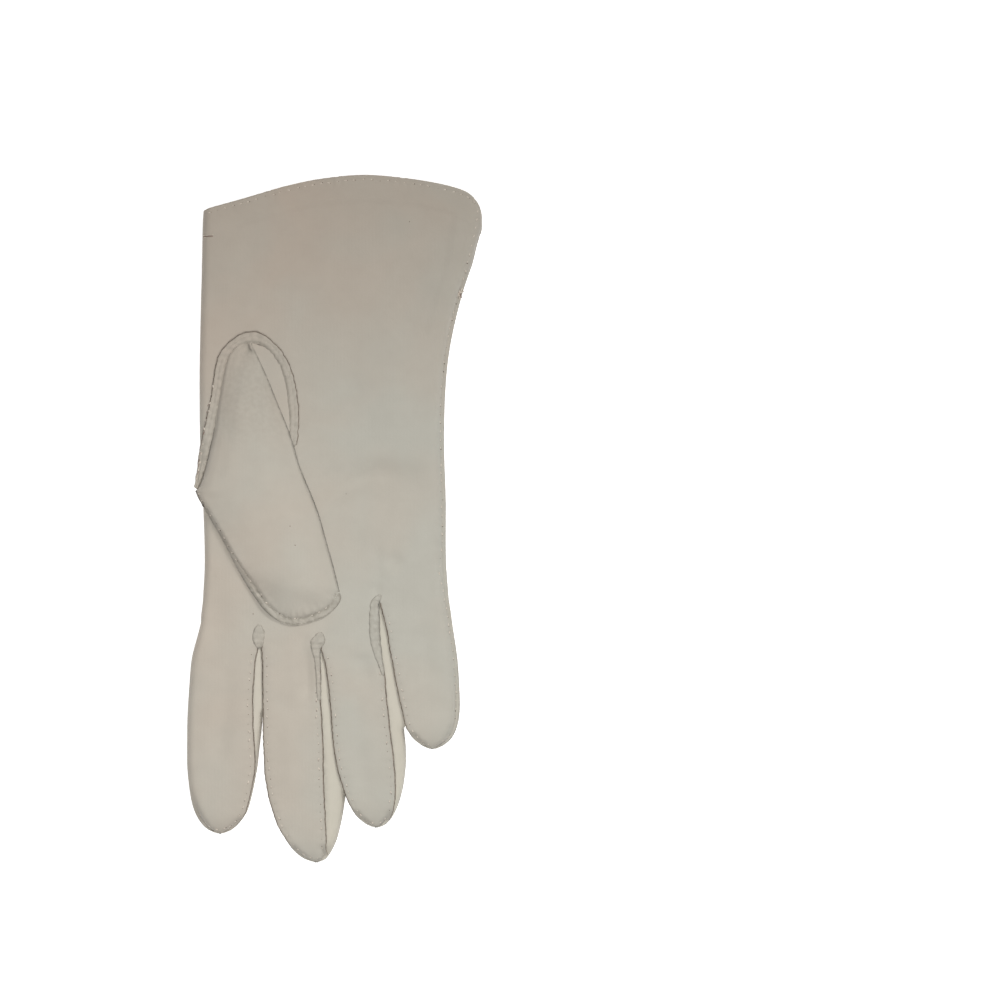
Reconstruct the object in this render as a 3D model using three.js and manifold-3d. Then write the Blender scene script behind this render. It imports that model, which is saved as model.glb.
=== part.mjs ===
// A right-hand dress glove of thin cloth, lying palm up: cuff towards +Y, fingers towards -Y, thumb on
// the palm at -X. Millimetres, +Z up, with the origin on the surface that it lies on.
import * as THREE from "three";
import { mergeVertices } from "three/addons/utils/BufferGeometryUtils.js";
import Module from "manifold-3d";

// Driving dimensions
const CLOTH = 1; // thickness of a wall
const HEM = 1.8; // thickness where the cloth is turned in at the cuff
const HEM_DEPTH = 8.5;
const SEAM_GAP = 0.3; // left between two pieces that are sewn together
const SEAM_LIP = 0.1; // of the palm and back faces, past their own thickness, beside a fourchette
const PALM_HEIGHT = 7.4; // outside, on the surface that it lies on
const FINGER_HEIGHT = 6.9;
const CUFF_HEIGHT = 9.2; // the cuff stands a little open
const THUMB_HEIGHT = 7; // above the palm that the thumb lies on
const SEAM_HEIGHT = 3.1; // of the seam round the little finger's side and the tips
const TIP_ROUND = 9; // length over which a fingertip thins towards its seam
const CUFF_Y = 108; // nominal line of the cuff, which the cuff's rise is added to
const VENT_Y = 79.3; // end of the vent, where the side seam begins
const PALM_END_Y = -28.2; // crotch of the ring and little fingers
const ROOTS_END_Y = -42.6; // crotches of the index, middle and ring fingers
const WELT_WIDTH = 2.1; // raised seam round the thumb hole
const WELT_HEIGHT = 0.9;
const HEEL = 1.2; // from the thumb's edges in to where it lies on the palm
const WELT_END_Y = 32; // below it the thumb covers the seam
const MOUTH_REACH = 4; // of the space inside, past the cuff and past the vent's edge
const GUSSET_REACH = 0.6; // of the space round a fourchette, out past the cloth's outer side
const TIP_SEAM = 1.4; // thickness of the seam round a fingertip
const FOOT_SHORT = 4.6; // how far the thumb's foot stops short of the hole's lower end
const INDEX_TOP_Y = -43.2; // the index finger's faces are a solid of their own from here to its tip
const INDEX_EAST = { palm: -25.9, back: -24.65 }; // lines between it and the middle finger
const FOOT_STEP = 0.2; // length over which the thumb closes below, where its foot ends
const SHIFT_END_Y = 98; // from here up, all rows follow the cuff's edge
const NARROWEST = 0.45; // most of a face's width that the round of one side may take

// Mesh density
const ROW_STEP = 8; // most length between two sections
const PALM_FACETS = 10;
const ROOT_FACETS = 6;
const FINGER_FACETS = 3;

// Edges of the hand: fold side at the left, seam side at the right
const HAND_COLUMNS = ["y", "left", "right"];
const HAND = [
  [CUFF_Y, -46.2, 52],
  [103.4, -46.4, 51.8],
  [90.8, -46.7, 48.1],
  [VENT_Y, -47, 44.6],
  [62.8, -47.4, 40.8],
  [48.8, -47.6, 39],
  [27.8, -47.4, 38.3],
  [6.8, -46.4, 38.9],
  [-14.2, -45.8, 39],
  [PALM_END_Y, -46.5, 40.1],
];

// How far the cuff's edge rises above its nominal line
const CUFF_COLUMNS = ["x", "rise"];
const CUFF = [
  [-46.2, 0.7],
  [-32.4, 4],
  [-17.3, 8.2],
  [-5.1, 10.8],
  [10, 12.2],
  [22.9, 11.3],
  [33.4, 9.8],
  [42.2, 7.8],
  [47.1, 5.7],
  [50.6, 2.1],
  [52, -1.4],
];

// Edges of the palm face and of the back face, which the fourchettes join: first the three finger
// roots that are still one, then each finger
const FINGER_COLUMNS = ["y", "palmLeft", "palmRight", "backLeft", "backRight"];
const ROOTS = [
  [-12, -45.7, 13.6, -45.7, 14.4],
  [PALM_END_Y, -46.4, 15, -46.4, 16.3],
  [-35.2, -47.6, 15.5, -47.6, 17],
  [ROOTS_END_Y, -49, 15.8, -49, 17.6],
];
const INDEX = [
  [-36, -46.6, -25.8, -46.6, -24.9],
  [-42.6, -48.8, -26.2, -48.8, -25],
  [-49.2, -50.4, -27.6, -50.4, -25],
  [-59.7, -51.3, -28.5, -51.3, -25.2],
  [-70.2, -51.9, -28.6, -51.9, -25.7],
  [-80.7, -52, -28, -52, -26.8],
  [-87.7, -51.9, -27.9, -51.9, -27.6],
  [-98.2, -50.6, -29.9, -50.6, -29.7],
  [-103.8, -48.8, -31.7, -48.8, -31.6],
  [-107.8, -46, -34.8, -46, -34.8],
  [-110.2, -42.6, -38.2, -42.6, -38.2],
];
const MIDDLE = [
  [-36, -24.6, -6.4, -24.2, -5.6],
  [-43.9, -25.5, -5.4, -24.3, -3.7],
  [-52.7, -25.3, -4.9, -23.3, -2.3],
  [-63.2, -25.2, -4.9, -21.9, -0.2],
  [-77.2, -25, -4.1, -20.8, 2.3],
  [-89.4, -24.4, -3.9, -19.8, 3.7],
  [-98.2, -22.9, -3.6, -19.1, 3.3],
  [-106.9, -20, -3.1, -17.3, 1.9],
  [-113.9, -16, -3, -14.5, 0],
  [-117.8, -12.8, -3.3, -12.1, -2.1],
  [-120.2, -9, -4.6, -8.8, -4.2],
];
const RING = [
  [-36, -4.7, 15.2, -3.6, 16.7],
  [-44.6, -4.7, 15.9, -2.6, 18],
  [-52.7, -3, 17.3, -0.2, 19.8],
  [-63.2, -1.7, 18.3, 1.2, 21.9],
  [-73.7, -0.9, 19.4, 3, 24],
  [-84.2, 0.3, 20.7, 4.4, 24.8],
  [-93.3, 2.7, 21.3, 5.8, 23.9],
  [-99.9, 5.2, 20.9, 7.2, 22.2],
  [-104.5, 7.9, 19.6, 9.3, 20.1],
  [-108, 12.2, 16.8, 12.2, 16.8],
];
const LITTLE = [
  [-20, 16.2, 38.2, 16.8, 38.2],
  [-28.4, 15.9, 40, 16.8, 40],
  [-37.3, 17.9, 41.3, 19.8, 41.3],
  [-49.2, 20, 43, 22.6, 43],
  [-59.7, 22, 43.7, 24.7, 43.7],
  [-66.7, 23.6, 43.8, 26.1, 43.8],
  [-72.6, 25, 42.9, 26.8, 42.9],
  [-77.2, 27.8, 40.6, 28.5, 40.6],
  [-80.5, 32, 36.4, 32, 36.4],
];

// Thumb: left edge, the fold that is its right edge, and its top above the palm
const THUMB_COLUMNS = ["y", "left", "fold", "top"];
const THUMB = [
  [62.4, -30, -28.4, 1.5],
  [61.6, -33.2, -28.3, 2],
  [60, -35.6, -28, 2.8],
  [56.5, -37.9, -26.2, 3.6],
  [51.6, -39.1, -24, 4.7],
  [45.3, -40.1, -21.3, 5.5],
  [38.3, -41.3, -18.5, 6.1],
  [31.3, -42.2, -15.9, 6.6],
  [24.3, -43.6, -13.3, 6.9],
  [17.3, -45.1, -11.4, THUMB_HEIGHT],
  [12.1, -46.9, -9.8, THUMB_HEIGHT],
  [9.6, -47.9, -9.1, THUMB_HEIGHT],
  [6.8, -47.2, -8.2, THUMB_HEIGHT],
  [4, -45.8, -7.3, THUMB_HEIGHT],
  [-3.7, -41.2, -4.7, THUMB_HEIGHT],
  [-14.2, -35.5, -0.9, THUMB_HEIGHT],
  [-22.9, -30.6, 1.4, 6.9],
  [-28.2, -27.3, 2.4, 6.4],
  [-31.7, -24.5, -0.5, 5.8],
  [-34.5, -21.7, -4.7, 5],
  [-36.8, -17, -10.6, 3.6],
];

// Seam loop that joins the thumb to the palm
const LOOP_COLUMNS = ["y", "left", "right"];
const LOOP = [
  [62.4, -30, -28],
  [61.6, -33.2, -24.8],
  [60, -35.6, -22.4],
  [56.5, -37.9, -19.6],
  [51.6, -39.1, -17.5],
  [45.3, -40.1, -16.1],
  [38.3, -41.3, -15.5],
  [31.3, -42.2, -15.4],
  [24.3, -42.8, -16.4],
  [17.3, -43.2, -18.8],
  [12.1, -42.6, -22],
  [8.6, -39.6, -26.4],
  [6.8, -36.4, -30.2],
];

// Soft swells of the palm face, with a crease between them
const SWELL_COLUMNS = ["x", "y", "halfWidth", "halfLength", "lift"];
const SWELLS = [
  [22, 52, 18, 40, 1.3],
  [22, -10, 18, 22, 1.1],
  [6, 88, 40, 22, 0.8],
];

// Side profiles: distance in from the edge, and share of the height from the back to the palm face
const SIDE_COLUMNS = ["inset", "share"];
const FOLD_SIDE = [
  [3.2, 0],
  [0.9, 0.16],
  [0, 0.5],
  [0.9, 0.84],
  [3.2, 1],
];
const GUSSET_SIDE = [
  [0.9, 0],
  [0, 0.16],
  [0, 0.84],
  [0.9, 1],
];
const SEAM_SIDE = [
  [3.6, 0],
  [1.7, 0.33],
  [0, 0.36],
  [0, 0.54],
  [1.7, 0.57],
  [4.2, 1],
];
const SEAM_INSIDE = [
  [3.4, 0],
  [1.3, 0.14],
  [0.8, 0.38],
  [0.8, 0.54],
  [1.3, 0.82],
  [3.6, 1],
];
const VENT_SIDE = [
  [3.6, 0],
  [1.7, 0],
  [0, 0],
  [0, 0.5],
  [1.7, 0.6],
  [4.2, 1],
];
const VENT_INSIDE = [
  [3.6, 0],
  [0.7, 0],
  [-MOUTH_REACH, 0],
  [-MOUTH_REACH, 0.4],
  [0.7, 0.54],
  [3.6, 1],
];

// The outer surface and the space inside it: wall taken off, and the sides of the hand
const OUTSIDE = { wall: 0, hem: 0, seam: SEAM_SIDE, vent: VENT_SIDE, pastCuff: 0 };
const INSIDE = { wall: CLOTH, hem: HEM, seam: SEAM_INSIDE, vent: VENT_INSIDE, pastCuff: MOUTH_REACH };

// Colours of the cloth
const IVORY = 0xdcd6ca;
const SHADED_IVORY = 0xd3ccbf;
const PALE_IVORY = 0xe6e1d7;

const wasm = await Module();
wasm.setup();

const named = (columns, table) =>
  table.map((row) => Object.fromEntries(columns.map((name, i) => [name, row[i]])));

const mix = THREE.MathUtils.lerp;
const smooth = THREE.MathUtils.smoothstep;
const clamp = THREE.MathUtils.clamp;

// The row at a place along the table's first column, on a smooth curve through its rows
function rowAt(columns, table, place) {
  const falls = table[0][0] > table.at(-1)[0];
  const passed = (row) => (falls ? row[0] < place : row[0] > place);
  const found = table.findIndex(passed);
  const last = table.length - 1;
  const i = Math.max(0, (found < 0 ? last : found) - 1);
  const span = table[i + 1][0] - table[i][0];
  const t = clamp((place - table[i][0]) / span, 0, 1);
  const slope = (k, c) => {
    const [a, b] = [Math.max(k - 1, 0), Math.min(k + 1, last)];
    return (table[b][c] - table[a][c]) / (table[b][0] - table[a][0]);
  };
  const value = (c) => {
    const [a, b] = [table[i][c], table[i + 1][c]];
    const bend = t * (1 - t);
    const start = bend * (1 - t) * (slope(i, c) * span - (b - a));
    const end = bend * t * (slope(i + 1, c) * span - (b - a));
    return mix(a, b, t) + start - end;
  };
  return Object.fromEntries(columns.map((name, c) => [name, c ? value(c) : place]));
}

// A table's rows, with more on the same curve wherever two are further apart than a step
function rowsOf(columns, table, step) {
  const rows = [rowAt(columns, table, table[0][0])];
  for (let i = 1; i < table.length; i++) {
    const [from, to] = [table[i - 1][0], table[i][0]];
    const parts = Math.ceil(Math.abs(to - from) / step);
    for (let k = 1; k <= parts; k++) rows.push(rowAt(columns, table, mix(from, to, k / parts)));
  }
  return rows;
}

// Closed body through rings of equal length, with a fan over each end
function loft(rings) {
  const count = rings[0].length;
  const points = rings.flat();
  const faces = [];
  const corner = (ring, i) => ring * count + (i % count);
  for (let r = 0; r + 1 < rings.length; r++) {
    for (let i = 0; i < count; i++) {
      const [a, b, c, d] = [corner(r, i), corner(r, i + 1), corner(r + 1, i + 1), corner(r + 1, i)];
      faces.push(a, b, c, a, c, d);
    }
  }
  for (const end of [0, rings.length - 1]) {
    const middle = points.length;
    const sum = rings[end].reduce((total, p) => total.add(p), new THREE.Vector3());
    points.push(sum.divideScalar(count));
    for (let i = 0; i < count; i++) {
      const [a, b] = [corner(end, i), corner(end, i + 1)];
      faces.push(...(end ? [middle, a, b] : [middle, b, a]));
    }
  }
  const geometry = new THREE.BufferGeometry().setFromPoints(points).setIndex(faces);
  return solidOf(geometry);
}

function solidOf(geometry) {
  const bare = new THREE.BufferGeometry();
  bare.setAttribute("position", geometry.getAttribute("position"));
  bare.setIndex(geometry.index);
  const merged = mergeVertices(bare, 1e-4);
  const made = new wasm.Mesh({
    numProp: 3,
    vertProperties: merged.attributes.position.array,
    triVerts: new Uint32Array(merged.index.array),
  });
  return new wasm.Manifold(made);
}

// Upright prism on an outline in the XY plane
function prism(outline, low, high) {
  const shape = new THREE.Shape(outline.map(([x, y]) => new THREE.Vector2(x, y)));
  const geometry = new THREE.ExtrudeGeometry(shape, { depth: high - low, bevelEnabled: false });
  return solidOf(geometry.translate(0, 0, low));
}

function meshOf(name, solid, color) {
  const made = solid.getMesh();
  const geometry = new THREE.BufferGeometry();
  geometry.setAttribute("position", new THREE.BufferAttribute(made.vertProperties, made.numProp));
  geometry.setIndex(new THREE.BufferAttribute(made.triVerts, 1));
  geometry.computeVertexNormals();
  const material = new THREE.MeshStandardMaterial({ color, roughness: 0.85, metalness: 0 });
  const mesh = new THREE.Mesh(geometry, material);
  mesh.name = name;
  return mesh;
}

// Extra height of the palm face at a place
function swellAt(x, y) {
  let lift = 0;
  for (const swell of named(SWELL_COLUMNS, SWELLS)) {
    const reach = Math.hypot((x - swell.x) / swell.halfWidth, (y - swell.y) / swell.halfLength);
    lift += swell.lift * (1 - smooth(reach, 0, 1));
  }
  return lift;
}

// How far a place moves towards the cuff, so that the rows near the cuff follow its edge
function cuffShift(x, y) {
  const nearEdge = smooth(y, VENT_Y, SHIFT_END_Y);
  const inside = clamp(x, CUFF[0][0], CUFF.at(-1)[0]);
  return nearEdge * rowAt(CUFF_COLUMNS, CUFF, inside).rise;
}

// Ring round one section: along the back face, up the right side, along the palm face, down the left
function sectionRing(row, leftSide, rightSide, columns, wall) {
  const low = row.low + wall;
  const high = row.high - wall;
  const widest = NARROWEST * (row.palmRight - row.palmLeft);
  const side = (back, palm, inward) => ({ inset, share }) => {
    const x = mix(back, palm, share) + inward * Math.min(inset + wall, widest);
    return [x, mix(low, high, share)];
  };
  const left = named(SIDE_COLUMNS, leftSide).map(side(row.backLeft, row.palmLeft, 1));
  const right = named(SIDE_COLUMNS, rightSide).map(side(row.backRight, row.palmRight, -1));
  const between = (from, to, lift) =>
    Array.from({ length: columns - 1 }, (_, i) => {
      const x = mix(from[0], to[0], (i + 1) / columns);
      return [x, from[1] + lift(x, row.y)];
    });
  const flat = between(left[0], right[0], () => 0);
  const crowned = between(right.at(-1), left.at(-1), swellAt);
  const ring = [...flat, ...right, ...crowned, ...left.reverse()];
  return ring.map(([x, z]) => new THREE.Vector3(x, row.y + cuffShift(x, row.y), z));
}

// Height of the palm face, which comes down to the fingers and rises to the cuff
function palmHeight(y) {
  const rise = smooth(y, LOOP[0][0], CUFF_Y) * (CUFF_HEIGHT - PALM_HEIGHT);
  return mix(FINGER_HEIGHT + 0.05, PALM_HEIGHT, smooth(y, ROOTS_END_Y, 0)) + rise;
}

// The hand from the cuff to the little finger's crotch
function hand(surface) {
  const at = (y) => rowAt(HAND_COLUMNS, HAND, y);
  const hemY = CUFF_Y - HEM_DEPTH;
  const belowVent = rowsOf(HAND_COLUMNS, HAND.slice(3), ROW_STEP).slice(1);
  const besideVent = [CUFF_Y, CUFF_Y - 3, hemY, hemY - 0.6, 94, 89, 84, VENT_Y + 0.4, VENT_Y - 0.4].map(at);
  const rows = [...besideVent, ...belowVent];
  const ringOf = (row) => {
    const wall = row.y < hemY ? surface.wall : surface.hem;
    const edges = { palmLeft: row.left, palmRight: row.right, backLeft: row.left, backRight: row.right };
    const section = { y: row.y, ...edges, low: 0, high: palmHeight(row.y) };
    return sectionRing(section, FOLD_SIDE, row.y < VENT_Y ? surface.seam : surface.vent, PALM_FACETS, wall);
  };
  const rings = rows.map(ringOf);
  for (const point of rings.at(-1)) point.y += surface.wall;
  if (surface.pastCuff) rings.unshift(rings[0].map((p) => p.clone().setY(p.y + surface.pastCuff)));
  return loft(rings);
}

// The three finger roots that are still one
function fingerRoots(surface) {
  const rings = rowsOf(FINGER_COLUMNS, ROOTS, ROW_STEP).map((row) => {
    const section = { ...row, low: 0, high: palmHeight(row.y) - 0.03 };
    return sectionRing(section, FOLD_SIDE, GUSSET_SIDE, ROOT_FACETS, surface.wall);
  });
  for (const point of rings.at(-1)) point.y += surface.wall;
  return loft(rings);
}

// One finger, which thins towards the seam round its tip
function finger(table, leftSide, rightSide, surface) {
  const tip = table.at(-1)[0];
  const places = rowsOf(FINGER_COLUMNS, table, ROW_STEP).map(({ y }) => y);
  const kept = places.filter((y) => y >= tip + 1.4 * surface.wall);
  if (surface.wall) kept.push(tip + surface.wall);
  const rings = kept.map((y) => {
    const round = 1 - Math.min((y - tip) / TIP_ROUND, 1);
    const full = Math.sqrt(1 - round * round);
    const low = mix(SEAM_HEIGHT - TIP_SEAM / 2, 0, full);
    const high = mix(SEAM_HEIGHT + TIP_SEAM / 2, FINGER_HEIGHT, full);
    const section = { ...rowAt(FINGER_COLUMNS, table, y), low, high };
    return sectionRing(section, leftSide, rightSide, FINGER_FACETS, surface.wall);
  });
  return loft(rings);
}

const handOf = (surface) =>
  hand(surface)
    .add(fingerRoots(surface))
    .add(finger(INDEX, FOLD_SIDE, GUSSET_SIDE, surface))
    .add(finger(MIDDLE, GUSSET_SIDE, GUSSET_SIDE, surface))
    .add(finger(RING, GUSSET_SIDE, GUSSET_SIDE, surface))
    .add(finger(LITTLE, GUSSET_SIDE, surface.seam, surface));

// Outline of the seam loop, grown all round
function loopOutline(grow) {
  const rows = rowsOf(LOOP_COLUMNS, LOOP, ROW_STEP / 2);
  const right = rows.map(({ y, right }) => [right + grow, y]);
  const left = rows.map(({ y, left }) => [left - grow, y]);
  const [top, bottom] = [rows[0], rows.at(-1)];
  const topEnd = [mix(top.left, top.right, 0.5), top.y + grow];
  const bottomEnd = [mix(bottom.left, bottom.right, 0.5), bottom.y - grow];
  return [topEnd, ...right, bottomEnd, ...left.reverse()];
}

// Raised seam round the thumb hole, where the thumb leaves it bare
function welt() {
  const band = prism(loopOutline(SEAM_GAP + WELT_WIDTH), PALM_HEIGHT - CLOTH, PALM_HEIGHT + WELT_HEIGHT);
  const [west, east, north] = [-60, 0, 80];
  const bare = [
    [west, WELT_END_Y],
    [east, WELT_END_Y],
    [east, north],
    [west, north],
  ];
  return band.intersect(prism(bare, 0, 2 * PALM_HEIGHT));
}

// The space round the cloth between two fingers: one finger's right side and the next one's left.
// Grown by the seam gap, it is what the palm and back faces leave free.
function gussetSpace(sides, startY, gap) {
  const low = CLOTH + SEAM_LIP + SEAM_GAP - gap;
  const high = FINGER_HEIGHT - CLOTH - SEAM_LIP - SEAM_GAP + gap;
  const lofts = sides.map(({ table, side, inward }) => {
    const endY = table.at(-1)[0] + TIP_ROUND - gap;
    const places = rowsOf(FINGER_COLUMNS, table, ROW_STEP).map(({ y }) => y);
    const within = [startY, ...places.filter((y) => y < startY && y > endY), endY];
    const rings = within.map((y) => {
      const row = rowAt(FINGER_COLUMNS, table, y);
      const edge = (z) => mix(row["back" + side], row["palm" + side], z / FINGER_HEIGHT);
      const [deep, out] = [inward * (2 * CLOTH + gap), -inward * (GUSSET_REACH + gap)];
      const corners = [
        [deep, low],
        [out, low],
        [out, high],
        [deep, high],
      ];
      const ordered = inward < 0 ? corners : corners.reverse();
      return ordered.map(([x, z]) => new THREE.Vector3(edge(z) + x, y, z));
    });
    return loft(rings);
  });
  return lofts.reduce((all, one) => all.add(one));
}

const RING_WITH_ROOT = [...ROOTS.slice(1), ...RING.slice(1)];
const right = (table) => ({ table, side: "Right", inward: -1 });
const left = (table) => ({ table, side: "Left", inward: 1 });
const CROTCHES = [
  { name: "fourchette_index_middle", sides: [right(INDEX), left(MIDDLE)], y: ROOTS_END_Y },
  { name: "fourchette_middle_ring", sides: [right(MIDDLE), left(RING)], y: ROOTS_END_Y },
  { name: "fourchette_ring_little", sides: [right(RING_WITH_ROOT), left(LITTLE)], y: PALM_END_Y },
];
const spaceOf = (crotch, gap) => gussetSpace(crotch.sides, crotch.y + CLOTH + gap, gap);

// Where the thumb's foot stops short of the hole's lower end
const footEndY = (wall) => LOOP.at(-1)[0] + FOOT_SHORT + 1.4 * wall;

// A closed outline moved inwards by a distance; it runs with its inside on the left
function shrunk(outline, distance) {
  const count = outline.length;
  const normal = (i) => {
    const [a, b] = [outline[(i + count) % count], outline[(i + 1) % count]];
    const length = Math.hypot(b[0] - a[0], b[1] - a[1]);
    return [(a[1] - b[1]) / length, (b[0] - a[0]) / length];
  };
  return outline.map(([x, z], i) => {
    const [before, after] = [normal(i - 1), normal(i)];
    const share = distance / (1 + before[0] * after[0] + before[1] * after[1]);
    return [x + share * (before[0] + after[0]), z + share * (before[1] + after[1])];
  });
}

// Ring round one section of the thumb. Beside the hole its feet stand in the hole, and past the
// hole it is closed below and lies on the palm.
function thumbRing(y, surface) {
  const { wall } = surface;
  const { left, fold, top } = rowAt(THUMB_COLUMNS, THUMB, y);
  const loop = rowAt(LOOP_COLUMNS, LOOP, y);
  const standing = y >= footEndY(wall);
  const lying = (x, from, to) => clamp(x, mix(left, fold, from), mix(left, fold, to));
  const footLeft = standing ? loop.left : lying(loop.left, 0.22, 0.34);
  const footRight = standing ? loop.right : lying(loop.right, 0.4, 0.7);
  const base = PALM_HEIGHT + SEAM_GAP;
  const level = (share) => base + share * top;
  const round = Math.min(3.2, 0.25 * (fold - left));
  const heel = (foot, edge, outward) =>
    outward * (edge - foot) > HEEL ? [edge - outward * HEEL, base] : [mix(foot, edge, 0.3), level(0.15)];
  const sole = base - 2 * CLOTH;
  const below = standing
    ? [[footLeft, sole], [footRight, sole]]
    : [[mix(footLeft, footRight, 0.3), base], [mix(footLeft, footRight, 0.7), base]];
  const outline = [
    ...below,
    [footRight, base],
    heel(footRight, fold, 1),
    [fold, level(0.5)],
    [fold - 0.3 * round, level(0.84)],
    [fold - round, level(1)],
    [mix(left, fold, 0.62), level(1)],
    [mix(left, fold, 0.38), level(1)],
    [left + round, level(1)],
    [left + 0.4 * round, level(0.78)],
    [left, level(0.5)],
    heel(footLeft, left, -1),
    [footLeft, base],
  ];
  const ring = wall ? shrunk(outline, wall) : outline;
  if (wall && standing) for (const foot of ring.slice(0, 2)) foot[1] = 0;
  return ring.map(([x, z]) => new THREE.Vector3(x, y, z));
}

function thumb(surface) {
  const { wall } = surface;
  const [start, tip] = [THUMB[0][0], THUMB.at(-1)[0]];
  const footEnd = footEndY(wall);
  const places = rowsOf(THUMB_COLUMNS, THUMB, ROW_STEP).map(({ y }) => y);
  const [first, final] = [start - 2.8 * wall, tip + 1.5 * wall];
  const kept = places.filter((y) => y < first && y > final && Math.abs(y - footEnd) > 1);
  kept.push(first, final, footEnd, footEnd - FOOT_STEP);
  kept.sort((a, b) => b - a);
  return loft(kept.map((y) => thumbRing(y, surface)));
}

// The space of the index finger's palm and back faces, grown by a gap towards the hand
function indexSpace(gap) {
  const [west, south, north] = [-60, -130, INDEX_TOP_Y + gap];
  const box = (east, high) => {
    const outline = [
      [west, south],
      [east, south],
      [east, north],
      [west, north],
    ];
    return prism(outline, -1, high);
  };
  return box(INDEX_EAST.palm, FINGER_HEIGHT + 1).add(box(INDEX_EAST.back, FINGER_HEIGHT / 2));
}

// The whole glove
function glove() {
  const shell = handOf(OUTSIDE).add(welt()).subtract(handOf(INSIDE));
  const hole = prism(loopOutline(SEAM_GAP), PALM_HEIGHT / 2, 2 * PALM_HEIGHT);
  let trank = shell.subtract(hole);
  const group = new THREE.Group();
  for (const crotch of CROTCHES) {
    trank = trank.subtract(spaceOf(crotch, SEAM_GAP));
    group.add(meshOf(crotch.name, shell.intersect(spaceOf(crotch, 0)), PALE_IVORY));
  }
  group.add(meshOf("trank", trank.subtract(indexSpace(SEAM_GAP)), IVORY));
  group.add(meshOf("trank_index_finger", trank.intersect(indexSpace(0)), IVORY));
  group.add(meshOf("thumb", thumb(OUTSIDE).subtract(thumb(INSIDE)), SHADED_IVORY));
  return group;
}

export default glove();
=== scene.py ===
"""Visual model of one dress glove: thin ivory cloth with its seams, stitches, hem and soft creases.

Lengths are in millimetres until a mesh is made. Y runs from the fingers to the cuff and Z up out of
the palm face. A face of the hand is laid out as rows across it, from the cuff to the fingertips.
"""
import math

import bpy
import numpy as np
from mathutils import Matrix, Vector
from mathutils.bvhtree import BVHTree


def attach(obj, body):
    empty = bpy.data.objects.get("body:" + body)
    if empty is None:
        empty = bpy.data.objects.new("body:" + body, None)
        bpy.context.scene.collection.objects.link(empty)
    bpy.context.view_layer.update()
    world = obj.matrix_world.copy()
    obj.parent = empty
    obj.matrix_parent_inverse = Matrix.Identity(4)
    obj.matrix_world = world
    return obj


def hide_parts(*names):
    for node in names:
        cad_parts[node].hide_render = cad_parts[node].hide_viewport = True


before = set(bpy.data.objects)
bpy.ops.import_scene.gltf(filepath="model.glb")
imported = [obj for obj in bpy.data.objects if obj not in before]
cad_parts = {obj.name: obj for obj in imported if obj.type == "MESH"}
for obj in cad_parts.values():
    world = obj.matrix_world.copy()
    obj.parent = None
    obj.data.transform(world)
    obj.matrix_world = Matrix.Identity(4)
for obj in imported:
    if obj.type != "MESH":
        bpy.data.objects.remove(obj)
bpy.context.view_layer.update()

MM = 0.001

# The frame's scale and centre, for places that are given in pixels of the photograph
MM_PER_PIXEL = 0.35
CENTRE_PIXEL = (334.5, 519.5)
FRAME_PIXELS = (1000, 999)

# Main sizes, the same as the solids have
PALM_HEIGHT = 7.4
FINGER_HEIGHT = 6.9
CUFF_RISE = 1.8
SEAM_HEIGHT = 3.1
TIP_ROUND = 9
TIP_SEAM = 1.4
CUFF_Y = 108
VENT_Y = 79.3
SHIFT_END_Y = 98
PALM_END_Y = -28.2
ROOTS_END_Y = -42.6
FOLD_REACH = 2.8

# Cloth
CLOTH = 0.5
HEM_CLOTH = 1.0
HEM_DEPTH = 8.8
HEM_RIDGE = 0.28
FACING_WIDTH = 8.5
FACING_END_Y = 60
FACING_RIDGE = 0.4
RIM_BULGE = 0.3  # how far a rounded edge stands out, as a share of the thickness

# Seams and stitches
FLANGE = 1.5  # width of the flat seam at the little finger's side and round the tips
SEAM_SHARE = 0.45  # height of that seam, as a share of the glove's
SEAM_REACH = 2.6  # width of the slope beside a seam
LIP = 0.44  # share of its height that the cloth has dropped at a flat seam
STRIP_DROP = 0.06  # the same beside a strip
STRIP_REACH = 1.2
VENT_RAMP = 9  # length in which the seam turns into the open vent
VENT_DROP = 0.4
VENT_REACH = 4.2
VENT_CLOTH = 0.3  # how far the cloth beside the vent has thickened towards the hem's
RAW_WAVES = 0.09  # unevenness of the raw edges beside the strips
STITCH_INSET = 1.4
STITCH_PITCH = 3.0
STITCH_RADIUS = 0.2
STITCH_WAVE = 0.12  # height of the waves that a row of stitches pulls into the cloth
STITCH_GROOVE = 0.16  # depth of the groove along it
HEM_INSET = 1.3
HEM_PITCH = 2.9
HEM_WAVE = 0.1
HEM_WAVES_Y = 90  # the hem's stitches pull at the cloth above this place
TIP_PITCH = 2.5
STRIP_TIP = (1.5, 7)  # above a fingertip, where its strip has ended and where it begins to
TIP_ROWS = 5  # length of a tip in which the rows of points close up

# Mesh density
ROW = 1.0
COLUMN = 0.95
BACK_COLUMN = 2.2
EDGE_STEPS = (0, 0.3, 0.65, 1.1, 1.7, 2.4, 3.2, 4.1)
BACK_EDGE_STEPS = (0, 0.4, 1.1, 2.2, 3.6)
HEM_STEPS = (0, 0.4, 0.9, 1.4, 2.0, 2.8)
HEM_ROW = 0.7
HEM_ROWS_Y = (104.2, 96)  # where the rows lie at that distance

# y, left, right
HAND = [
    (108, -46.2, 51.6), (103.3, -46.4, 51.5), (97.4, -46.55, 50.6), (92.8, -46.65, 49.5),
    (88.4, -46.75, 48.3), (85.5, -46.8, 47.15), (79.3, -47, 44.75), (62.8, -47.4, 40.8),
    (48.8, -47.6, 39), (27.8, -47.4, 38.3), (6.8, -46.4, 38.9), (-14.2, -45.8, 39), (-28.2, -46.5, 40.1),
]
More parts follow.
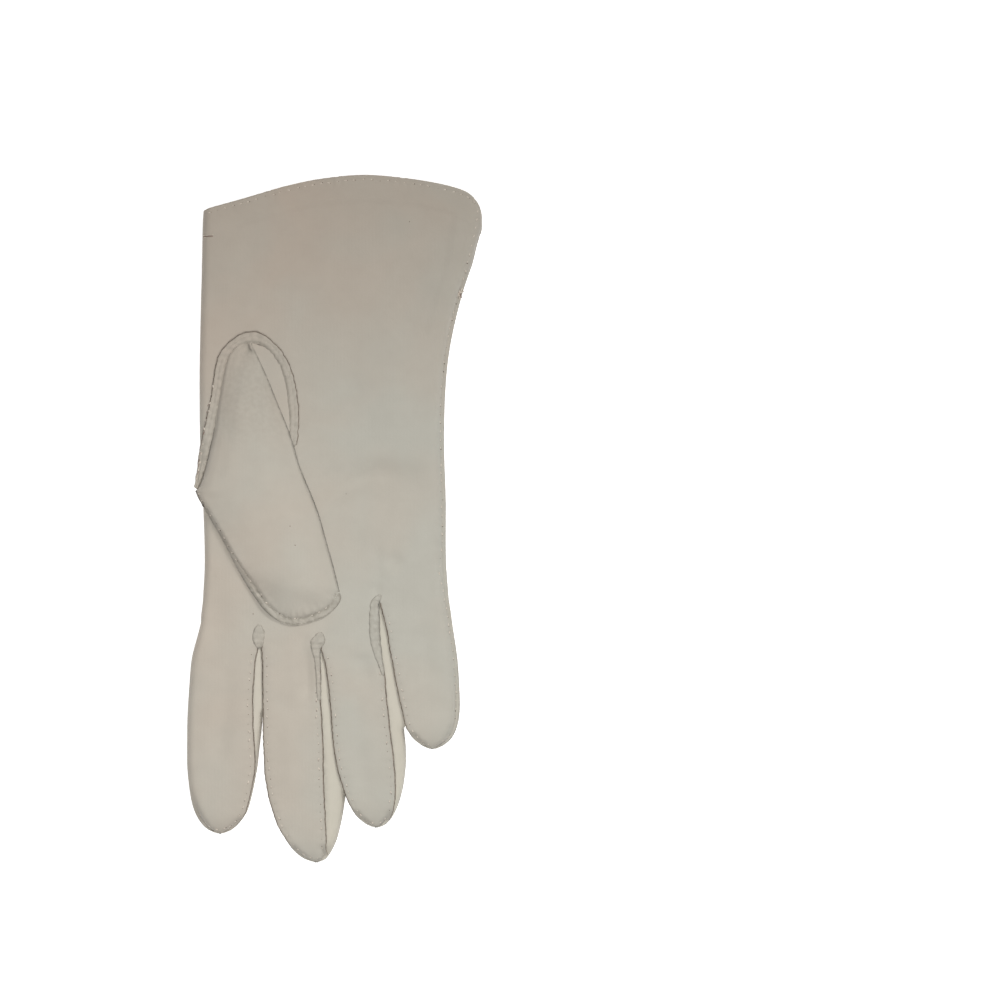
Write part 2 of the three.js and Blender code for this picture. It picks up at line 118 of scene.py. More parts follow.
# x, how far the cuff's edge rises there
CUFF = [
    (-46.2, 0), (-32.4, 3.8), (-17.3, 8.2), (-5.1, 10.8), (10, 12.2), (22.9, 11.3), (33.4, 9.8),
    (42.2, 7.8), (47.1, 5.7), (50.6, 2.1), (51.6, -1.4),
]
# y, then left and right edges of the palm face, then those of the back face
ROOTS = [
    (-12, -45.7, 13.6, -45.7, 14.4), (-28.2, -46.4, 15, -46.4, 16.3), (-35.2, -47.6, 15.5, -47.6, 17),
    (-42.6, -49, 15.8, -49, 17.6),
]
INDEX = [
    (-36, -46.6, -25.8, -46.6, -24.9), (-42.6, -48.8, -26.2, -48.8, -25), (-49.2, -50.4, -27.6, -50.4, -25),
    (-59.7, -51.3, -28.5, -51.3, -25.2), (-70.2, -51.9, -28.6, -51.9, -25.7),
    (-80.7, -52, -28, -52, -26.8), (-87.7, -51.9, -27.9, -51.9, -27.6), (-98.2, -50.6, -29.9, -50.6, -29.7),
    (-103.8, -48.8, -31.7, -48.8, -31.6), (-107.8, -46, -34.8, -46, -34.8),
    (-110.2, -42.6, -38.2, -42.6, -38.2),
]
MIDDLE = [
    (-36, -24.6, -6.4, -24.2, -5.6), (-43.9, -25.5, -5.4, -24.3, -3.7), (-52.7, -25.3, -4.9, -23.3, -2.3),
    (-63.2, -25.2, -4.9, -21.9, -0.2), (-77.2, -25, -4.1, -20.8, 2.3), (-89.4, -24.4, -3.9, -19.8, 3.7),
    (-98.2, -22.9, -3.6, -19.1, 3.3), (-106.9, -20, -3.1, -17.3, 1.9), (-113.9, -16, -3, -14.5, 0),
    (-117.8, -12.8, -3.3, -12.1, -2.1), (-120.2, -9, -4.6, -8.8, -4.2),
]
RING = [
    (-36, -4.7, 15.2, -3.6, 16.7), (-44.6, -4.7, 15.9, -2.6, 18), (-52.7, -3, 17.3, -0.2, 19.8),
    (-63.2, -1.7, 18.3, 1.2, 21.9), (-73.7, -0.9, 19.4, 3, 24), (-84.2, 0.3, 20.7, 4.4, 24.8),
    (-93.3, 2.7, 21.3, 5.8, 23.9), (-99.9, 5.2, 20.9, 7.2, 22.2), (-104.5, 7.9, 19.6, 9.3, 20.1),
    (-108, 12.2, 16.8, 12.2, 16.8),
]
LITTLE = [
    (-20, 16.2, 38.2, 16.8, 38.2), (-28.4, 15.9, 40, 16.8, 40), (-37.3, 17.9, 41.3, 19.8, 41.3),
    (-49.2, 20, 43, 22.6, 43), (-59.7, 22, 43.7, 24.7, 43.7), (-66.7, 23.6, 43.8, 26.1, 43.8),
    (-72.6, 25, 42.9, 26.8, 42.9), (-77.2, 27.8, 40.6, 28.5, 40.6), (-80.5, 32, 36.4, 32, 36.4),
]
# Each finger, where it starts, and the kind of its left and right edge and where that edge's seam starts
FINGERS = [
    (INDEX, ROOTS_END_Y, ("fold", 0), ("gusset", ROOTS_END_Y)),
    (MIDDLE, ROOTS_END_Y, ("gusset", ROOTS_END_Y), ("gusset", ROOTS_END_Y)),
    (RING, ROOTS_END_Y, ("gusset", ROOTS_END_Y), ("gusset", PALM_END_Y)),
    (LITTLE, PALM_END_Y, ("gusset", PALM_END_Y), ("seam", 0)),
]
# y, left edge, fold, top above the palm
THUMB = [
    (62.4, -30, -28.4, 1.5), (61.6, -33.2, -28.3, 2), (60, -35.6, -28, 2.8), (56.5, -37.9, -26.2, 3.6),
    (51.6, -39.1, -24, 4.7), (45.3, -40.1, -21.3, 5.5), (38.3, -41.3, -18.5, 6.1), (31.3, -42.2, -15.9, 6.6),
    (24.3, -43.6, -13.3, 6.9), (17.3, -45.1, -11.4, 7), (12.1, -46.9, -9.8, 7), (9.6, -47.9, -9.1, 7),
    (6.8, -47.2, -8.2, 7), (4, -45.8, -7.3, 7), (-3.7, -41.2, -4.7, 7), (-14.2, -35.5, -0.9, 7),
    (-22.9, -30.6, 1.4, 6.9), (-28.2, -27.3, 2.4, 6.4), (-31.7, -24.5, -0.5, 5.8), (-34.5, -21.7, -4.7, 5),
    (-36.8, -17, -10.6, 3.6),
]
# y, left and right edges of the hole in the palm
LOOP = [
    (62.4, -30, -28), (61.6, -33.2, -24.8), (60, -35.6, -22.4), (56.5, -37.9, -19.6), (51.6, -39.1, -17.5),
    (45.3, -40.1, -16.1), (38.3, -41.3, -15.5), (31.3, -42.2, -15.4), (24.3, -42.8, -16.4),
    (17.3, -43.2, -18.8), (12.1, -42.6, -22), (8.6, -39.6, -26.4), (6.8, -36.4, -30.2),
]

# Colours
WARM_IVORY = (0.416, 0.368, 0.31)
COOL_IVORY = (0.397, 0.383, 0.333)
WARM_GUSSET = (0.485, 0.446, 0.378)
COOL_GUSSET = (0.472, 0.447, 0.376)
# Multiplied in towards the cuff: a warmer tint, and painted shade that darkens it
CUFF_WARMTH_AND_SHADE = (0.96, 0.9, 0.875)
FINE_TINT = (0.93, 0.925, 0.92)
# Tone mixed in by the point attribute: seam dirt, and painted shade in the gaps, creases and folds beside the
# seams
SEAM_DIRT_AND_SHADE = (0.262, 0.242, 0.204)

# Light: name, place, size and power, in metres and watts
LIGHTS = [("above the palm", (0.0, -0.07, 0.3), 0.25, 0.8), ("from the cuff", (1.05, 1.7, 1.8), 0.8, 32.0)]
AIM = (0.0, -0.07, 0.0)
SKY = 0.2

# Camera in millimetres, floor in metres
CAMERA_HEIGHT = 1200
SENSOR = 36
FLOOR_HALF = 3.0
FLOOR_LEVEL = -0.0002
FLOOR_GLOW = 0.6

# Soft swells of the palm face: x, y, half width, half length, lift
SWELLS = [
    (22, 52, 18, 40, 1.3), (22, -10, 18, 22, 1.0), (6, 88, 40, 22, 0.8),
    (15, 14, 27, 9, -1.7), (16, 1, 22, 10, 0.7), (21.2, -14.9, 5, 5, -0.8), (14.2, -24.7, 4, 4, -0.6),
    (-41, -34, 8, 14, -0.8), (-38, 92, 9, 20, 0.5), (26, 80, 12, 16, -0.8),
]
# Where the thumb lies on the palm: x, y, half width, half length
UNDER_THUMB = (-27, 20, 20, 46)
# Creases: from x, y to x, y, half width, lift
CREASES = [
    (-10.3, -42, -9.6, -66, 2.4, -0.9), (8.5, -46, 11.5, -58, 3.2, -0.6), (-37, -50, -41, -88, 3.6, -0.6),
    (31, -34, 33, -60, 3.4, -0.5), (8, 20, 34, 10, 4.5, -0.3), (-7, 4, 15, 17, 3.2, -0.6),
    (-4, -38, -6, -22, 2.6, -0.35), (-27, -36, -24, -20, 2.8, -0.3), (16, -26, 15, -8, 2.4, -0.4),
    (-15, -66, -16, -100, 3.0, 0.3), (7, -64, 11, -98, 3.0, -0.3), (-46, 70, -20, 78, 5, -0.3),
    (38, 60, 20, 74, 4, -0.3),
]
# Ends of seams beside the crotches: pixels of the middle, half width
SEAM_ENDS = [
    [(259, 625, 1), (259, 629, 4), (258.5, 635, 5.4), (258, 640, 5.2), (258.5, 645, 3.8), (259.5, 648, 1.5)],
    [(320.5, 632.5, 1), (319.5, 636, 4.2), (318.5, 640, 6.5), (317.3, 644, 6), (315.9, 648, 3.9),
     (316, 653, 3), (317.4, 660, 2), (318.2, 675, 1.6), (318.5, 690, 1.4), (319, 700, 0.8)],
    [(380, 594.5, 1), (376.8, 599, 3.6), (374.2, 604, 3.2), (374, 612, 3.6), (374.2, 620, 4.1),
     (374.6, 641, 4.3), (377.8, 655, 3), (381.3, 667, 1.3), (383.4, 676, 0.5)],
]
# Across a seam end: share of its half width, lift above the palm
SEAM_END_PROFILE = [
    (-1.15, -0.3), (-1, 0.1), (-0.86, 0.24), (-0.5, 0.2), (0, 0.16), (0.5, 0.2), (0.86, 0.24), (1, 0.1),
    (1.15, -0.3),
]
# Pixels of the stitches and of the brown thread left of the thumb hole, and of small specks
HOLE_STITCHES = [(214.5, 374), (213, 386), (211.3, 395), (209, 410.5), (206, 419), (204.5, 430), (202.5, 446),
                 (200, 462), (197.5, 476), (195.5, 486)]
HOLE_THREAD = [(208.5, 402), (206, 418), (203.5, 436), (200.5, 447), (198.5, 462), (197, 480)]
PALM_SPECKS = [(409.6, 222), (253, 614), (346, 494)]
THUMB_SPECKS = [(291, 526), (296, 545)]
SPECK_RADIUS = 0.28
# Places of the pale and brown threads and of the dark dimples among the stitches' materials; a dimple is
# painted shade at a needle hole and dirt at a speck
PALE, HOLE_SHADE_AND_SPECK, BROWN = 0, 1, 2
# The knot that ends the vent, whose first thread is brown
KNOT_PLACE = (43.7, 79.3)
KNOT_TURNS = (-0.9, -0.5, 0.1, 0.7)
# The threads that hold the hem at the fold: y, material, x of the far end
HEM_THREADS = [(99.35, PALE, -42), (98.95, BROWN, -42.2), (98.6, PALE, -44.8)]
HEM_THREADS_X = -46
HEM_THREAD_RADIUS = 0.13
# Fingers' edges that have a row of stitches: finger, side, where the row starts
STITCHED_EDGES = [
    (INDEX, 1, -46), (MIDDLE, 0, -47), (MIDDLE, 1, -47), (RING, 0, -47), (RING, 1, -32), (LITTLE, 0, -32),
]
# Strips between the fingers: name, left and right finger, where it starts, where the fingers come apart
STRIPS = [
    ("fourchette_index_middle", INDEX, MIDDLE, ROOTS_END_Y, -67.4),
    ("fourchette_middle_ring", MIDDLE, RING, ROOTS_END_Y, -95.4),
    ("fourchette_ring_little", RING, LITTLE, PALM_END_Y, -73.3),
]
# Pixels of the three places where the cloth puckers above the strips
CROTCH_PIXELS = [(260, 640), (320, 642), (378, 600)]


def smooth(value, start, end):
    t = np.clip((value - start) / (end - start), 0, 1)
    return t * t * (3 - 2 * t)


def mix(a, b, share):
    return a + (b - a) * share


def arc(share):
    """A quarter of an ellipse, from 0 to 1."""
    return np.sqrt(np.clip(1 - (1 - np.clip(share, 0, 1)) ** 2, 0, 1))


def bell(distance, width):
    return np.exp(-((distance / width) ** 2))


def curve(table, place):
    """A table's other columns at places along its first one, on a smooth curve through its rows."""
    table = np.asarray(table, float)
    if table[0, 0] > table[-1, 0]:
        table = table[::-1]
    place = np.asarray(place, float)
    at, last = table[:, 0], len(table) - 1
    k = np.arange(last + 1)
    before, after = np.maximum(k - 1, 0), np.minimum(k + 1, last)
    slope = (table[after] - table[before]) / (at[after] - at[before])[:, None]
    i = np.clip(np.searchsorted(at, place, "right") - 1, 0, last - 1)
    span = (at[i + 1] - at[i])[..., None]
    t = np.clip((place[..., None] - at[i][..., None]) / span, 0, 1)
    a, b = table[i], table[i + 1]
    bend = t * (1 - t)
    start = bend * (1 - t) * (slope[i] * span - (b - a))
    end = bend * t * (slope[i + 1] * span - (b - a))
    return (mix(a, b, t) + start - end)[..., 1:]


def rounding(tip, above, count):
    """Places that close up towards a tip, as on a quarter of a circle."""
    return tip + above * (1 - np.sin(np.linspace(0, math.pi / 2, count)))


def stacked(x, y, z):
    return np.stack(np.broadcast_arrays(x, y, z), -1)


def from_pixels(points):
    points = np.asarray(points, float)
    x = (points[:, 0] - CENTRE_PIXEL[0]) * MM_PER_PIXEL
    y = (CENTRE_PIXEL[1] - points[:, 1]) * MM_PER_PIXEL
    return np.stack([x, y], 1)


def ripple(x, y, seed, lengths, height, waves=9):
    """Soft uneven waves with lengths between two values."""
    chance = np.random.default_rng(seed)
    total = np.zeros(np.broadcast(x, y).shape)
    for _ in range(waves):
        angle, phase = chance.uniform(0, math.pi), chance.uniform(0, 2 * math.pi)
        across = x * math.cos(angle) + y * math.sin(angle)
        total += np.sin(across * 2 * math.pi / chance.uniform(*lengths) + phase)
    return height * total / math.sqrt(waves)


def jagged(along, seed, height):
    """The small unevenness of an edge cut by hand."""
    return ripple(along, 0 * along, seed, (1.3, 4.5), height, 7)


def to_segment(x, y, start, end):
    """Distance to a line between two points, and the share of the way along it."""
    (ax, ay), (bx, by) = start, end
    length = (bx - ax) ** 2 + (by - ay) ** 2
    t = np.clip(((x - ax) * (bx - ax) + (y - ay) * (by - ay)) / length, 0, 1)
    return np.hypot(x - mix(ax, bx, t), y - mix(ay, by, t)), t


def to_line(x, y, line):
    """Distance to a line through points, and how far along it the nearest place is."""
    best, along, passed = np.full(np.shape(x), np.inf), np.zeros(np.shape(x)), 0.0
    for start, end in zip(line[:-1], line[1:]):
        length = math.hypot(end[0] - start[0], end[1] - start[1])
        if length < 1e-9:
            continue
        distance, t = to_segment(x, y, start, end)
        along = np.where(distance < best, passed + t * length, along)
        best = np.minimum(best, distance)
        passed += length
    return best, along


def unit(vectors):
    return vectors / np.maximum(np.linalg.norm(vectors, axis=-1, keepdims=True), 1e-12)


def run_of(points):
    """How far along a line each of its points is."""
    return np.concatenate([[0], np.cumsum(np.linalg.norm(np.diff(points, axis=0), axis=1))])


def at_runs(points, runs):
    """Points at distances along a line."""
    points = np.asarray(points, float)
    return np.stack([np.interp(runs, run_of(points), points[:, k]) for k in range(points.shape[1])], -1)


def evenly(points, count):
    return at_runs(points, np.linspace(0, run_of(points)[-1], count))


def smoothed(points, rounds=3):
    """A line with its corners cut, which keeps its ends."""
    points = np.asarray(points, float)
    for _ in range(rounds):
        a, b = points[:-1], points[1:]
        cut = np.stack([0.75 * a + 0.25 * b, 0.25 * a + 0.75 * b], 1).reshape(-1, points.shape[1])
        points = np.concatenate([points[:1], cut, points[-1:]])
    return points


def traced(pixels, rounds=3):
    """A smooth line through places given in pixels."""
    return smoothed(from_pixels(pixels), rounds)


def beside(line, distance):
    """A line moved to its left by a distance."""
    direction = unit(np.gradient(line, axis=0))
    return line + distance * np.stack([-direction[:, 1], direction[:, 0]], 1)


def inside(x, y, outline):
    """Whether places lie inside a closed outline."""
    found = np.zeros(np.shape(x), bool)
    for (ax, ay), (bx, by) in zip(outline, np.roll(outline, -1, axis=0)):
        if ay == by:
            continue
        crosses = (ay > y) != (by > y)
        found ^= crosses & (x < ax + (y - ay) * (bx - ax) / (by - ay))
    return found


# Meshes

class Cloth:
    """Grids of points that are welded where they meet, and then given a thickness.

    A point carries the cloth's thickness there and a darker tone: dirt along the seams, and painted shade in
    the gaps, creases and folds beside them.
    """

    def __init__(self):
        self.points, self.faces, self.carried, self.marks, self.count = [], [], [], [], 0

    def add(self, grid, thickness, face_up=True, keep=None, dirt_and_shade=0.0, cut=False):
        """Rows by columns of points, as quads; keep says which stay and cut which are a raw edge, drawn in a
        dark colour that is partly the edge's dirt and partly painted shade of the gap beside it.
        """
        rows, columns = grid.shape[:2]
        index = np.arange(rows * columns).reshape(rows, columns) + self.count
        a, b, c, d = index[:-1, :-1], index[:-1, 1:], index[1:, 1:], index[1:, :-1]
        quads = np.stack([a, d, c, b] if face_up else [a, b, c, d], -1).reshape(-1, 4)
        marks = np.broadcast_to(cut, (rows - 1, columns - 1)).reshape(-1).astype(int)
        chosen = np.ones(len(quads), bool) if keep is None else keep.reshape(-1)
        self.faces.append(quads[chosen])
        self.marks.append(marks[chosen])
        self.points.append(grid.reshape(-1, 3))
        carried = np.stack(np.broadcast_arrays(np.broadcast_to(thickness, (rows, columns)), dirt_and_shade), -1)
        self.carried.append(carried.reshape(-1, 2))
        self.count += rows * columns

    def thickened(self):
        """The sheet with a second one inside it and a rounded rim between them."""
        points, carried = np.concatenate(self.points), np.concatenate(self.carried)
        marks = np.concatenate(self.marks)
        _, first, where = np.unique(np.round(points, 3), axis=0, return_index=True, return_inverse=True)
        faces = where.reshape(-1)[np.concatenate(self.faces)]
        used = np.unique(faces)
        renumber = np.full(len(first), -1)
        renumber[used] = np.arange(len(used))
        points, faces, carried = points[first][used], renumber[faces], carried[first][used]
        thickness = carried[:, :1]

        normals, count = corner_normals(points, faces), len(points)
        within = points - normals * thickness
        edges = loose_edges(faces)
        rim = np.unique(edges)
        outward = np.zeros_like(points)
        centres = points[faces].mean(axis=1)
        for k in range(4):
            np.add.at(outward, faces[:, k], points[faces[:, k]] - centres)
        outward = unit(outward - normals * (outward * normals).sum(axis=1, keepdims=True))
        middle = (points[rim] + within[rim]) / 2 + RIM_BULGE * outward[rim] * thickness[rim]
        place = np.full(count, -1)
        place[rim] = 2 * count + np.arange(len(rim))
        a, b = edges[:, 0], edges[:, 1]
        upper = np.stack([b, a, place[a], place[b]], 1)
        lower = np.stack([place[b], place[a], a + count, b + count], 1)
        every = np.concatenate([faces, faces[:, ::-1] + count, upper, lower])
        raw = np.isin(edges, faces[marks == 1]).all(axis=1).astype(int)
        material = np.concatenate([marks, marks, raw, raw])
        dirt_and_shade = np.concatenate([carried[:, 1], carried[:, 1], carried[rim, 1]])
        return np.concatenate([points, within, middle]), every, material, dirt_and_shade


def corner_normals(points, faces):
    """Average normal of the faces round each point."""
    a, b, c, d = (points[faces[:, k]] for k in range(4))
    across = np.cross(c - a, d - b)
    normals = np.zeros_like(points)
    for k in range(4):
        np.add.at(normals, faces[:, k], across)
    return unit(normals)


def loose_edges(faces):
    """Directed edges that only one face uses."""
    edges = np.concatenate([faces[:, [k, (k + 1) % 4]] for k in range(4)])
    edges = edges[edges[:, 0] != edges[:, 1]]
    size = faces.max() + 1
    forward, backward = edges[:, 0] * size + edges[:, 1], edges[:, 1] * size + edges[:, 0]
    return edges[~np.isin(forward, backward)]


def linked(name, data):
    made = bpy.data.objects.new(name, data)
    bpy.context.scene.collection.objects.link(made)
    return made


def mesh_object(name, parts, materials):
    """An object from parts in millimetres: points, faces, material of each face, and each point's darker tone
    of seam dirt and painted shade.
    """
    all_faces, slots, count = [], [], 0
    for points, faces, material, _ in parts:
        for face in (np.asarray(faces) + count).tolist():
            all_faces.append(list(dict.fromkeys(face)))
        slots.append(np.broadcast_to(material, len(faces)))
        count += len(points)
    slots = np.concatenate(slots)
    whole = [i for i, face in enumerate(all_faces) if len(face) > 2]
    places = np.concatenate([part[0] for part in parts]) * MM
    dirt_and_shade = np.concatenate([np.broadcast_to(part[3], len(part[0])) for part in parts])
    mesh = bpy.data.meshes.new(name)
    mesh.from_pydata(places.tolist(), [], [all_faces[i] for i in whole])
    mesh.polygons.foreach_set("material_index", slots[whole].astype(np.int32))
    mesh.polygons.foreach_set("use_smooth", np.ones(len(whole), bool))
    mesh.attributes.new("dirt_and_shade", "FLOAT", "POINT").data.foreach_set("value", dirt_and_shade.astype(np.float32))
    for material in materials:
        mesh.materials.append(material)
    mesh.validate()
    mesh.update()
    return linked(name, mesh)


# Shape of the hand

def cuff_shift(x, y):
    lift = curve(CUFF, np.clip(x, CUFF[0][0], CUFF[-1][0]))[..., 0]
    return smooth(y, VENT_Y, SHIFT_END_Y) * lift


def palm_height(y):
    at_cuff = smooth(y, THUMB[0][0], CUFF_Y) * CUFF_RISE
    return mix(FINGER_HEIGHT + 0.05, PALM_HEIGHT, smooth(y, ROOTS_END_Y, 0)) + at_cuff


def finger_ends(y, tip):
    """Lowest and highest level of a finger, which thins towards its tip."""
    full = arc((y - tip) / TIP_ROUND)
    return mix(SEAM_HEIGHT - TIP_SEAM / 2, 0, full), mix(SEAM_HEIGHT + TIP_SEAM / 2, FINGER_HEIGHT, full)


def finger_top(high, place, start):
    """A finger's highest level, which meets the palm's where the finger starts."""
    return high + (palm_height(start) - FINGER_HEIGHT) * smooth(place, start - 12, start)


def past_strip(place, tip):
    """From 0 along a finger to 1 round its tip, where the strip has ended and the two faces meet."""
    return 1 - smooth(place, tip + STRIP_TIP[0], tip + STRIP_TIP[1])


def fold_drop(d, reach=FOLD_REACH):
    return 0.5 * (1 - arc(d / reach))


def seam_drop(d, reach=SEAM_REACH):
    lip = mix(0.5, LIP, smooth(d, 0, 0.5))
    return np.where(d < FLANGE, lip, LIP * (1 - arc((d - FLANGE) / reach)))


def gusset_drop(d):
    return STRIP_DROP * (1 - smooth(d, 0, STRIP_REACH))


def swell(x, y):
    lift = np.zeros(np.broadcast(x, y).shape)
    for cx, cy, half_width, half_length, height in SWELLS:
        reach = np.hypot((x - cx) / half_width, (y - cy) / half_length)
        lift += height * (1 - smooth(reach, 0, 1))
    return lift


def palm_relief(x, y):
    """Soft dents, creases and puckers of the palm face, which lies flatter under the thumb."""
    lift = swell(x, y) + ripple(x, y, 3, (26, 60), 0.16) + ripple(x, y, 8, (9, 20), 0.05)
    for ax, ay, bx, by, half_width, height in CREASES:
        distance, t = to_segment(x, y, (ax, ay), (bx, by))
        ends = smooth(t, 0, 0.3) * smooth(t, 1, 0.7) + 0.25
        lift += height * ends * bell(distance, half_width)
    for k, (cx, cy) in enumerate(from_pixels(CROTCH_PIXELS)):
        reach, turn = np.hypot(x - cx, y - cy), np.arctan2(y - cy, x - cx)
        lift += 0.07 * np.sin(5 * turn + k) * bell(reach - 4, 3.5)
    cx, cy, half_width, half_length = UNDER_THUMB
    under_thumb = smooth(np.hypot((x - cx) / half_width, (y - cy) / half_length), 1.25, 0.9)
    return lift * (1 - 0.8 * under_thumb)


def stitched(d, along, inset=STITCH_INSET, pitch=STITCH_PITCH, height=STITCH_WAVE):
    """The small waves and the shallow groove that a row of stitches pulls into the cloth."""
    waves = height * np.sin(along * 2 * math.pi / pitch) * bell(d - inset - 0.2, 1.8)
    return (waves - STITCH_GROOVE * bell(d - inset, 0.5)) * np.clip(d / 0.3, 0, 1)


# Darker tone beside a seam's edge: seam dirt, and painted shade of the gap and crease there
def dirt_and_shade_at(d):
    return 0.65 * bell(d, 0.45) + 0.22 * bell(d, 1.9)


def finger_edges(table, face, y):
    """Left and right edge of a finger's face, which meet those of the other face at the tip."""
    found = curve(table, y)
    tip = table[-1][0]
    apart = smooth(y, tip + 1, tip + 4.5)
    if face == "palm":
        left, right = found[..., 0], mix(found[..., 3], found[..., 1], apart)
    else:
        left, right = mix(found[..., 0], found[..., 2], apart), found[..., 3]
    middle = (left + right) / 2
    narrow = 0.1 + 0.9 * arc((y - tip) / 1.1)
    return mix(middle, left, narrow), mix(middle, right, narrow)


def spread(width, face):
    """Shares of a finger's width at which its columns lie, closer together beside its edges."""
    steps, column = (EDGE_STEPS, COLUMN) if face == "palm" else (BACK_EDGE_STEPS, BACK_COLUMN)
    steps = np.array(steps)
    between = np.linspace(steps[-1], width - steps[-1], max(int((width - 2 * steps[-1]) / column), 2) + 1)
    return np.concatenate([steps[:-1], between, width - steps[::-1][1:]]) / width


def plain_pair(edges):
    return tuple(float(edge) for edge in edges)


def crotch_edges(face):
    """Left and right edges of the four fingers where they part."""
    return [plain_pair(finger_edges(table, face, np.array(start))) for table, start, *_ in FINGERS]


def roots_edges(face, y):
    c = 0 if face == "palm" else 2
    t = np.clip((PALM_END_Y - y) / (PALM_END_Y - ROOTS_END_Y), 0, 1)
    found, index, ring = curve(ROOTS, y), finger_edges(INDEX, face, y), finger_edges(RING, face, y)
    return mix(found[..., c], index[0], t), mix(found[..., c + 1], ring[1], t)


def hand_edges(face, y):
    """Left and right edges of the hand above the crotches."""
    begin, end = ROOTS[0][0], np.array(PALM_END_Y)
    t = np.clip((begin - y) / (begin - PALM_END_Y), 0, 1)
    left, right = curve(HAND, y)[..., 0], curve(HAND, y)[..., 1]
    left_change = roots_edges(face, end)[0] - curve(HAND, end)[..., 0]
    right_change = finger_edges(LITTLE, face, end)[1] - curve(HAND, end)[..., 1]
    return left + t * left_change, right + t * right_change


def palm_surface(x, y, place, low, high, drop):
    """Height of the palm face; place is y before the cuff's rise is added."""
    hem_line = CUFF_Y - HEM_DEPTH
    lift = palm_relief(x, y) + HEM_RIDGE * smooth(place, hem_line - 0.8, hem_line + 0.8)
    lift = lift - 0.1 * bell(place - hem_line + 1.6, 1.6)
    edge = CUFF_Y - place
    lift += np.where(place > HEM_WAVES_Y, stitched(edge, x, HEM_INSET, HEM_PITCH, HEM_WAVE), 0)
    return low + (high - low) * (1 - 2 * (1 - SEAM_SHARE) * drop) + lift * (1 - 2 * drop)


def add_back(cloth, x, y, low, high, drop, thickness=CLOTH):
    """A stretch of the back face, with its soft waves."""
    lift = 0.16 * (1 + np.sin(ripple(x, y, 5, (24, 60), 1.2)))
    z = low + (high - low) * 2 * SEAM_SHARE * drop + lift * (1 - 2 * drop)
    cloth.add(stacked(x, y, z), thickness, False)


def loop_outline(grow):
    """Outline of the hole for the thumb."""
    places = [np.linspace(a[0], b[0], 5)[:-1] for a, b in zip(LOOP[:-1], LOOP[1:])]
    places = np.concatenate(places + [[LOOP[-1][0]]])
    edges = curve(LOOP, places)
    right = np.stack([edges[:, 1] + grow, places], 1)
    left = np.stack([edges[:, 0] - grow, places], 1)
    top = [[(LOOP[0][1] + LOOP[0][2]) / 2, LOOP[0][0] + grow]]
    bottom = [[(LOOP[-1][1] + LOOP[-1][2]) / 2, LOOP[-1][0] - grow]]
    return np.concatenate([top, right, bottom, left[::-1]])


def add_hand(cloth, face, shares, crotch):
    """The hand and the cuff, as one grid whose columns run on into the fingers."""
    end = np.array(PALM_END_Y)
    hand_left, hand_right = plain_pair(hand_edges(face, end))
    roots = mix(*plain_pair(roots_edges(face, end)), shares["three"])
    four = np.concatenate([roots, mix(*crotch[3], shares["fingers"][3])])
    four = (four - hand_left) / (hand_right - hand_left)

    first_y, last_y = HEM_ROWS_Y
    near_cuff = np.concatenate([CUFF_Y - np.array(HEM_STEPS), np.arange(first_y, last_y, -HEM_ROW)])
    below = np.linspace(last_y, PALM_END_Y, int((last_y - PALM_END_Y) / ROW))
    place = np.concatenate([near_cuff, below])[:, None]
    left, right = hand_edges(face, place)
    x = mix(left, right, four[None, :])
    y = place + cuff_shift(x, place)
    side = right - x
    open_vent = smooth(place, VENT_Y, VENT_Y + VENT_RAMP)
    if face == "palm":
        vent = VENT_DROP * (1 - arc(side / VENT_REACH))
    else:
        vent = STRIP_DROP * (1 - smooth(side, 0, 3))
    right_drop = mix(seam_drop(side), vent, open_vent)
    right_drop = np.where((side < 0.01) & (place < VENT_Y + 0.5), 0.5, right_drop)
    drop = np.maximum(fold_drop(x - left), right_drop)
    hem = smooth(place, CUFF_Y - HEM_DEPTH - 0.5, CUFF_Y - HEM_DEPTH + 0.5)
    thickness = mix(CLOTH, HEM_CLOTH, np.maximum(hem, VENT_CLOTH * smooth(side, 6, 4) * open_vent))
    if face == "back":
        add_back(cloth, x, y, 0 * place, palm_height(place), drop, thickness)
        return
    z = palm_surface(x, y, place, 0 * place, palm_height(place), drop)
    facing = smooth(side, FACING_WIDTH + 0.5, FACING_WIDTH - 0.5)
    facing = facing * smooth(place, FACING_END_Y, FACING_END_Y + 6) * (1 - hem)
    grid = stacked(x, y, z + (1 - 2 * drop) * FACING_RIDGE * facing + stitched(side, y))
    centres = (grid[:-1, :-1] + grid[1:, 1:]) / 2
    keep = ~inside(centres[..., 0], centres[..., 1], loop_outline(-0.2))
    # Darker along the sewn side and the cuff's edge: seam dirt and painted shade
    dirt_and_shade = 0.5 * dirt_and_shade_at(side) + 0.2 * dirt_and_shade_at(CUFF_Y - place)
    cloth.add(grid, thickness, True, keep, dirt_and_shade)


def add_roots(cloth, face, shares):
    """The roots of the index, middle and ring fingers, which are one piece."""
    place = np.linspace(PALM_END_Y, ROOTS_END_Y, int((PALM_END_Y - ROOTS_END_Y) / ROW) + 2)[:, None]
    left, right = roots_edges(face, place)
    x = mix(left, right, shares["three"][None, :])
    y = place + 0 * x
    begun = smooth(place, PALM_END_Y, PALM_END_Y - 3)
    drop = np.maximum(fold_drop(x - left), gusset_drop(right - x) * begun)
    if face == "back":
        add_back(cloth, x, y, 0 * place, palm_height(place), drop)
        return
    z = palm_surface(x, y, place, 0 * place, palm_height(place), drop) + begun * stitched(right - x, y)
    x = x + jagged(y, 61, RAW_WAVES) * (1 - smooth(right - x, 0.2, 1.2)) * begun
    # The raw edge beside the strip gets the dark edge colour, its dirt and painted shade of the gap; the
    # darker tone beside it is seam dirt and painted shade
    cut = np.zeros((len(place) - 1, x.shape[1] - 1), bool)
    cut[2:, -1] = True
    cloth.add(stacked(x, y, z), CLOTH, True, None, dirt_and_shade_at(right - x) * begun, cut)


